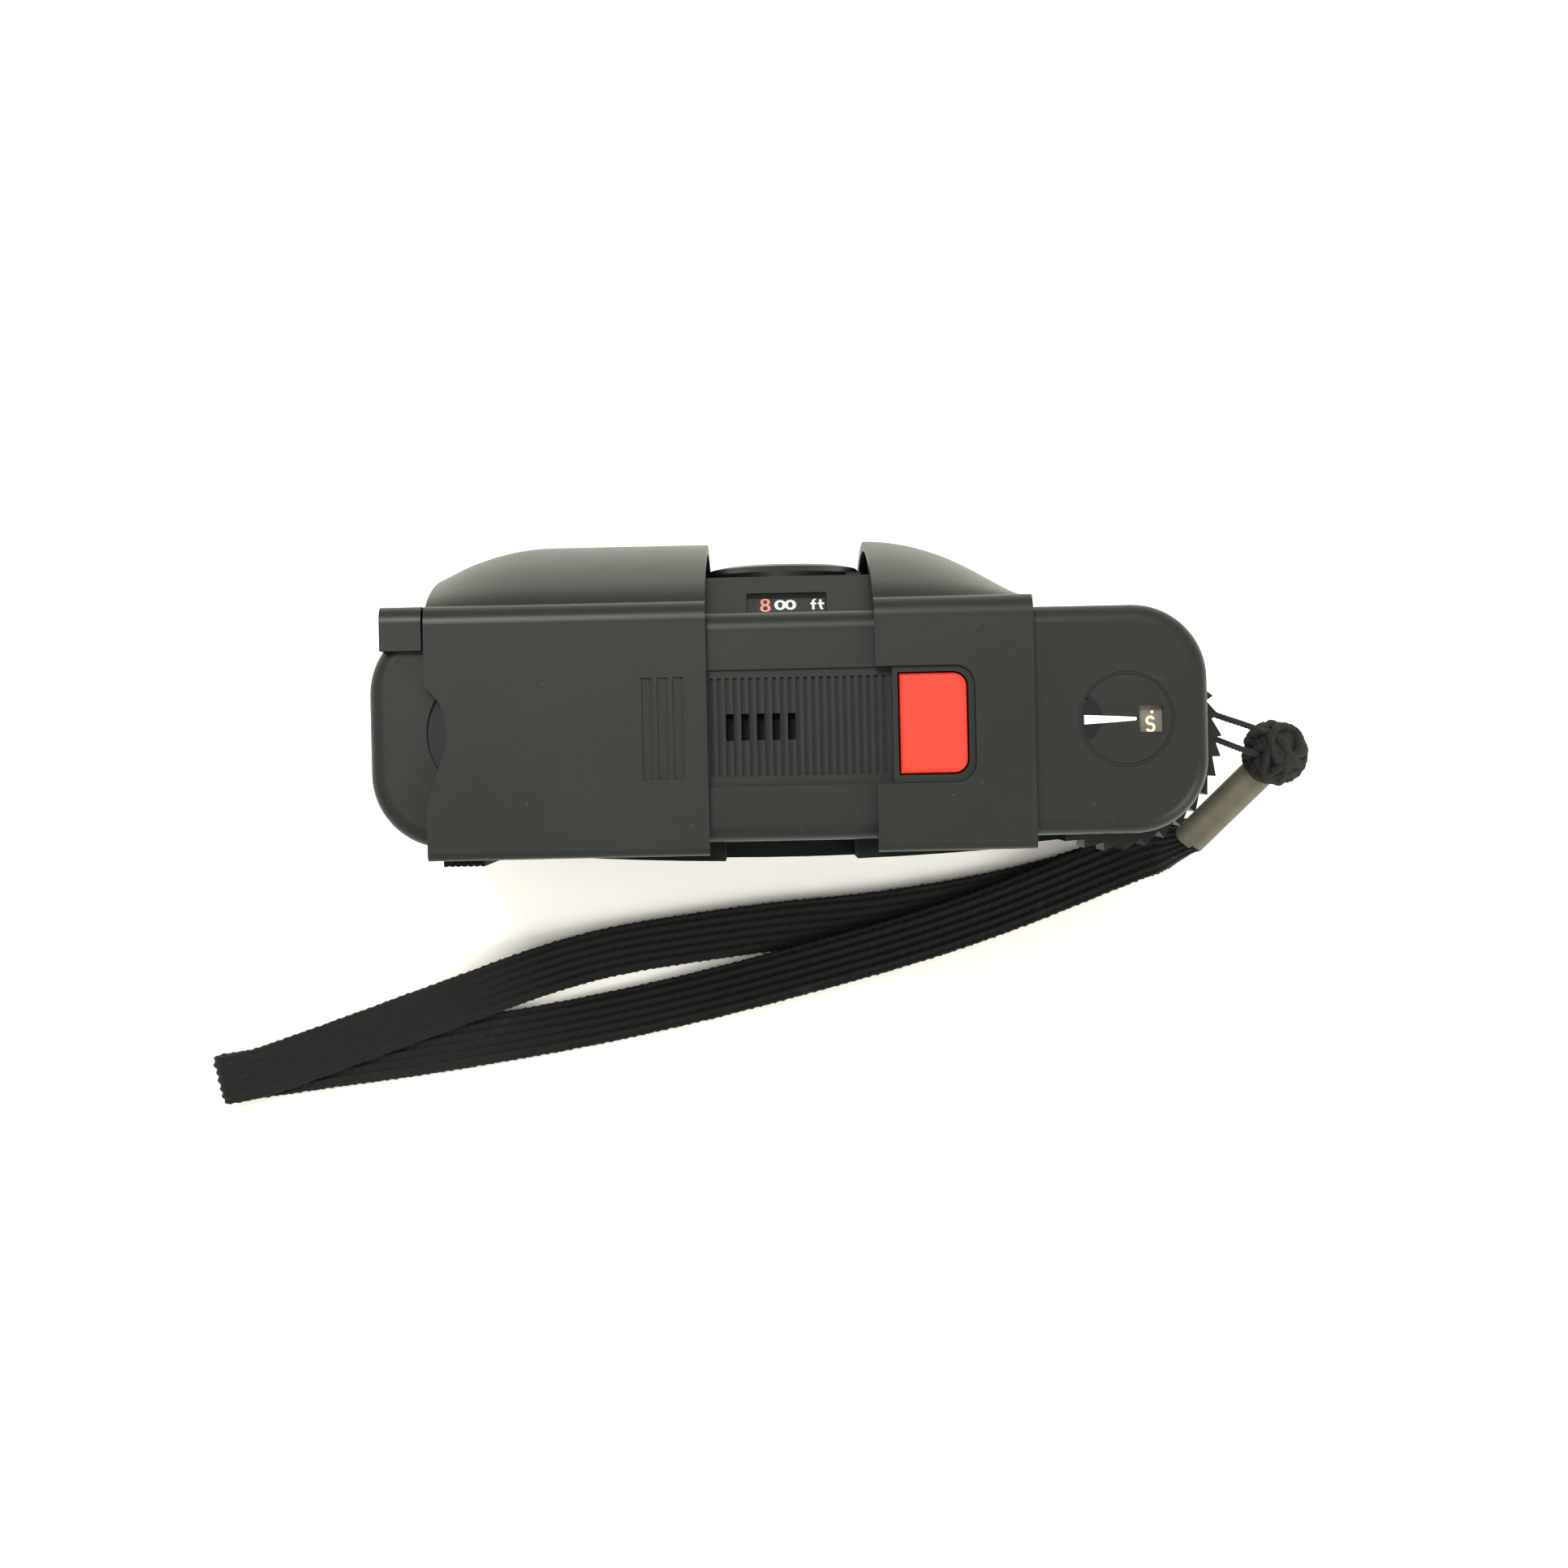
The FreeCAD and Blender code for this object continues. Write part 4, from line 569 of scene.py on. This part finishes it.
def make_scale_figures(white, red):
    """Distance figures on the sliding scale, read from above with the lens away from the reader."""
    low, high = (Vector(c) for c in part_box("distance_scale"))
    slope = Vector((0, 4.9, 7.7)).normalized()
    out = Vector((0, -slope.z, slope.y))
    thick = 0.4 * MM
    front_foot = Vector((0, low.y, low.z + thick * slope.y))
    middle = front_foot + slope * 1.6 * MM
    right = Vector((-1, 0, 0))
    up = -slope
    flip = right.cross(up).normalized()
    lift = 0.02 if flip.dot(out) > 0 else -0.035
    lens_x = (low.x + high.x) / 2

    def at(x):
        return Vector((lens_x + x * MM, middle.y, middle.z))

    w = 0.34
    eight = [stroke(arc(0, 0.78, 0.42, 0.66, 0, 360), w), stroke(arc(0, -0.74, 0.47, 0.72, 0, 360), w)]
    endless = [stroke(arc(-0.62, 0, 0.50, 1.0, 0, 360), 0.42), stroke(arc(0.62, 0, 0.50, 1.0, 0, 360), 0.42)]
    f = [stroke([(-0.52, -1.25), (-0.52, -0.4), (-0.52, 0.6)] + arc(-0.22, 0.6, 0.3, 0.6, 180, 80, 10), 0.3),
         stroke([(-0.85, 0.2), (-0.5, 0.2), (-0.12, 0.2)], 0.42)]
    t = [stroke([(0.38, 1.15), (0.38, 0.2), (0.38, -0.6)] + arc(0.68, -0.6, 0.3, 0.6, 180, 265, 10), 0.3),
         stroke([(0.05, 0.2), (0.4, 0.2), (0.82, 0.2)], 0.42)]
    print_marks("figure_near", eight, at(2.55), right, up, lift, red, "distance_scale")
    print_marks("figure_far", endless, at(0.12), right, up, lift, white, "distance_scale")
    print_marks("figure_unit", f + t, at(-3.8), right, up, lift, white, "distance_scale")


def make_counter_marks(white, cream, lamp):
    low, high = (Vector(c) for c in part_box("counter_plate"))
    centre = Vector(((low.x + high.x) / 2, (low.y + high.y) / 2, high.z))
    right = Vector((-1, 0, 0))
    up = Vector((0, -1, 0))
    face = centre - Vector((0, 0, 0.01 * MM))
    rows = [(-5.1, 0.55), (-3.0, 0.44), (-1.0, 0.33), (1.0, 0.2), (1.16, 0.12)]
    pointer = [(x, y) for x, y in rows] + [(x, -y) for x, y in reversed(rows)]
    print_marks("counter_pointer", [pointer], face, right, up, 0.02, white, "root")
    outer = [p for p in arc(0, 0, 5.3, 5.3, 180 - 28, 180 + 28, 24)]
    inner = arc(-5.75, 0.2, 2.85, 2.95, -72, 72, 24)
    print_marks("counter_lamp", [inner + outer], face, right, up, 0.0, lamp, "root")
    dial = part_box("counter_dial")[1][2]
    spot = Vector((centre.x, centre.y, dial))
    s = arc(0, 0.42, 0.42, 0.42, 20, 250, 22) + arc(0, -0.42, 0.44, 0.44, 70, -160, 22)
    figure = [stroke([(x + 2.98, y - 0.66) for x, y in s], 0.34),
              stroke([(3.02, 0.78), (3.2, 0.78), (3.38, 0.78)], 0.34)]
    print_marks("counter_letter", figure, spot, right, up, 0.01, cream, "counter_dial")


# ---- assembly ---------------------------------------------------------------------------------------
case = moulded("case_plastic", (0.0075, 0.0095, 0.0072), (0.011, 0.0135, 0.0105), 0.40)
cover = moulded("cover_plastic", (0.0082, 0.0103, 0.0080), (0.0118, 0.0142, 0.0112), 0.37, grain=0.05)
panel = moulded("panel_plastic", (0.004, 0.0046, 0.0038), (0.006, 0.0068, 0.0056), 0.45, dust=0.1, shine=0.1)
painted = moulded("black_metal", (0.005, 0.0056, 0.005), (0.009, 0.0095, 0.0085), 0.36, grain=0.03, dust=0.1)
trim = moulded("trim_plastic", (0.005, 0.0055, 0.0055), (0.008, 0.0086, 0.008), 0.34, grain=0.03, dust=0.1)
red = dull("button_red", (0.60, 0.026, 0.012), (0.65, 0.031, 0.015), 0.45, 300.0, 0.02)
lens_glass = glass("lens_glass", (0.80, 0.86, 0.90), (0.55, 0.45, 0.85), 1.45)
clear_glass = glass("window_glass", (0.95, 0.97, 0.97), (0.4, 0.45, 0.5), 1.08)
steel = metal("steel", (0.56, 0.56, 0.55), 0.32, (1.0, 1.0, 12.0))
chrome = metal("bright_plate", (0.78, 0.78, 0.77), 0.12)
mirror = metal("mirror", (0.9, 0.9, 0.9), 0.03)
lug_steel = metal("lug_steel", (0.30, 0.30, 0.29), 0.4)
scale_black = dull("scale_black", (0.0025, 0.0022, 0.0022), (0.005, 0.0045, 0.004), 0.7, 700.0, 0.03)
dial_brown = dull("dial_brown", (0.13, 0.115, 0.095), (0.17, 0.15, 0.125), 0.55, 500.0, 0.05)
board_green = dull("board_green", (0.02, 0.10, 0.035), (0.03, 0.14, 0.05), 0.35, 500.0, 0.05)
cell_dark = dull("cell_dark", (0.03, 0.02, 0.025), (0.05, 0.04, 0.04), 0.25, 800.0, 0.02)
clamp_grey = dull("clamp_grey", (0.075, 0.068, 0.048), (0.15, 0.138, 0.10), 0.62, 420.0, 0.12)
# Darker, bluer copy of the moulded black for the rear door, chassis and buzzer: painted shade for the shadowed
# gap behind the top covers.
shade_darkened_plastic = moulded("shade_darkened_black", (0.003, 0.0042, 0.0042), (0.005, 0.0065, 0.0065), 0.62, grain=0.05,
                     dust=0.03, shine=0.1)
braid = braid_material()
knot_black = dull("knot_black", (0.002, 0.002, 0.0018), (0.020, 0.019, 0.016), 0.85, 900.0, 0.6)
white_ink = printed("white_ink", (0.90, 0.90, 0.86))
red_ink = printed("red_ink", (0.90, 0.26, 0.20))
cream_ink = printed("cream_ink", (0.86, 0.80, 0.52))
lamp_blue = dull("lamp_dark", (0.001, 0.002, 0.004), (0.002, 0.004, 0.008), 0.3, 300.0, 0.02)

FINISH = {
    case: ("top_cover", "bottom_cover", "counter_plate"),
    panel: ("front_panel",),
    cover: ("fixed_cover", "sliding_cover", "cover_stop"),
    shade_darkened_plastic: ("chassis", "buzzer", "rear_door"),
    painted: ("lens_bezel", "front_lens_cell", "rear_lens_cell", "focus_ring", "pressure_plate",
              "battery_cap", "check_lever", "rewind_knob", "aperture_lever", "film_speed_lever"),
    trim: ("advance_wheel", "takeup_spool", "film_sprocket"),
    red: ("shutter_button",),
    lens_glass: ("front_lens", "rear_lens"),
    clear_glass: ("distance_window", "viewfinder_window", "viewfinder_eyepiece", "beam_splitter",
                  "rangefinder_window", "meter_window"),
    steel: ("shutter_plate", "shutter_blade_1", "shutter_blade_2", "door_hinge_pin", "advance_shaft",
            "base_screws", "pressure_spring", "rewind_bush", "rewind_fork", "tripod_socket",
            "battery_1", "battery_2", "rewind_release"),
    lug_steel: ("strap_lug",),
    chrome: ("rewind_crank", "crank_grip"),
    mirror: ("rangefinder_mirror",),
    scale_black: ("distance_scale",),
    dial_brown: ("counter_dial",),
    board_green: ("circuit_board",),
    cell_dark: ("meter_cell",),
    clamp_grey: ("strap_sleeve",),
    braid: ("strap_lower_leg", "strap_fold", "strap_upper_leg", "lug_cord"),
    knot_black: ("strap_knot",),
}

make_camera()
make_floor()
make_light()
for material, names in FINISH.items():
    for name in names:
        nodes[name].data.materials.clear()
        nodes[name].data.materials.append(material)

strap, strap_line, strap_ahead, strap_side = make_strap(braid)
make_fuzz(strap_line, strap_ahead, strap_side, braid)
lug_loop, lug_line = make_lug_cord(braid)
make_knot(knot_black)
make_scale_figures(white_ink, red_ink)
make_counter_marks(white_ink, cream_ink, lamp_blue)
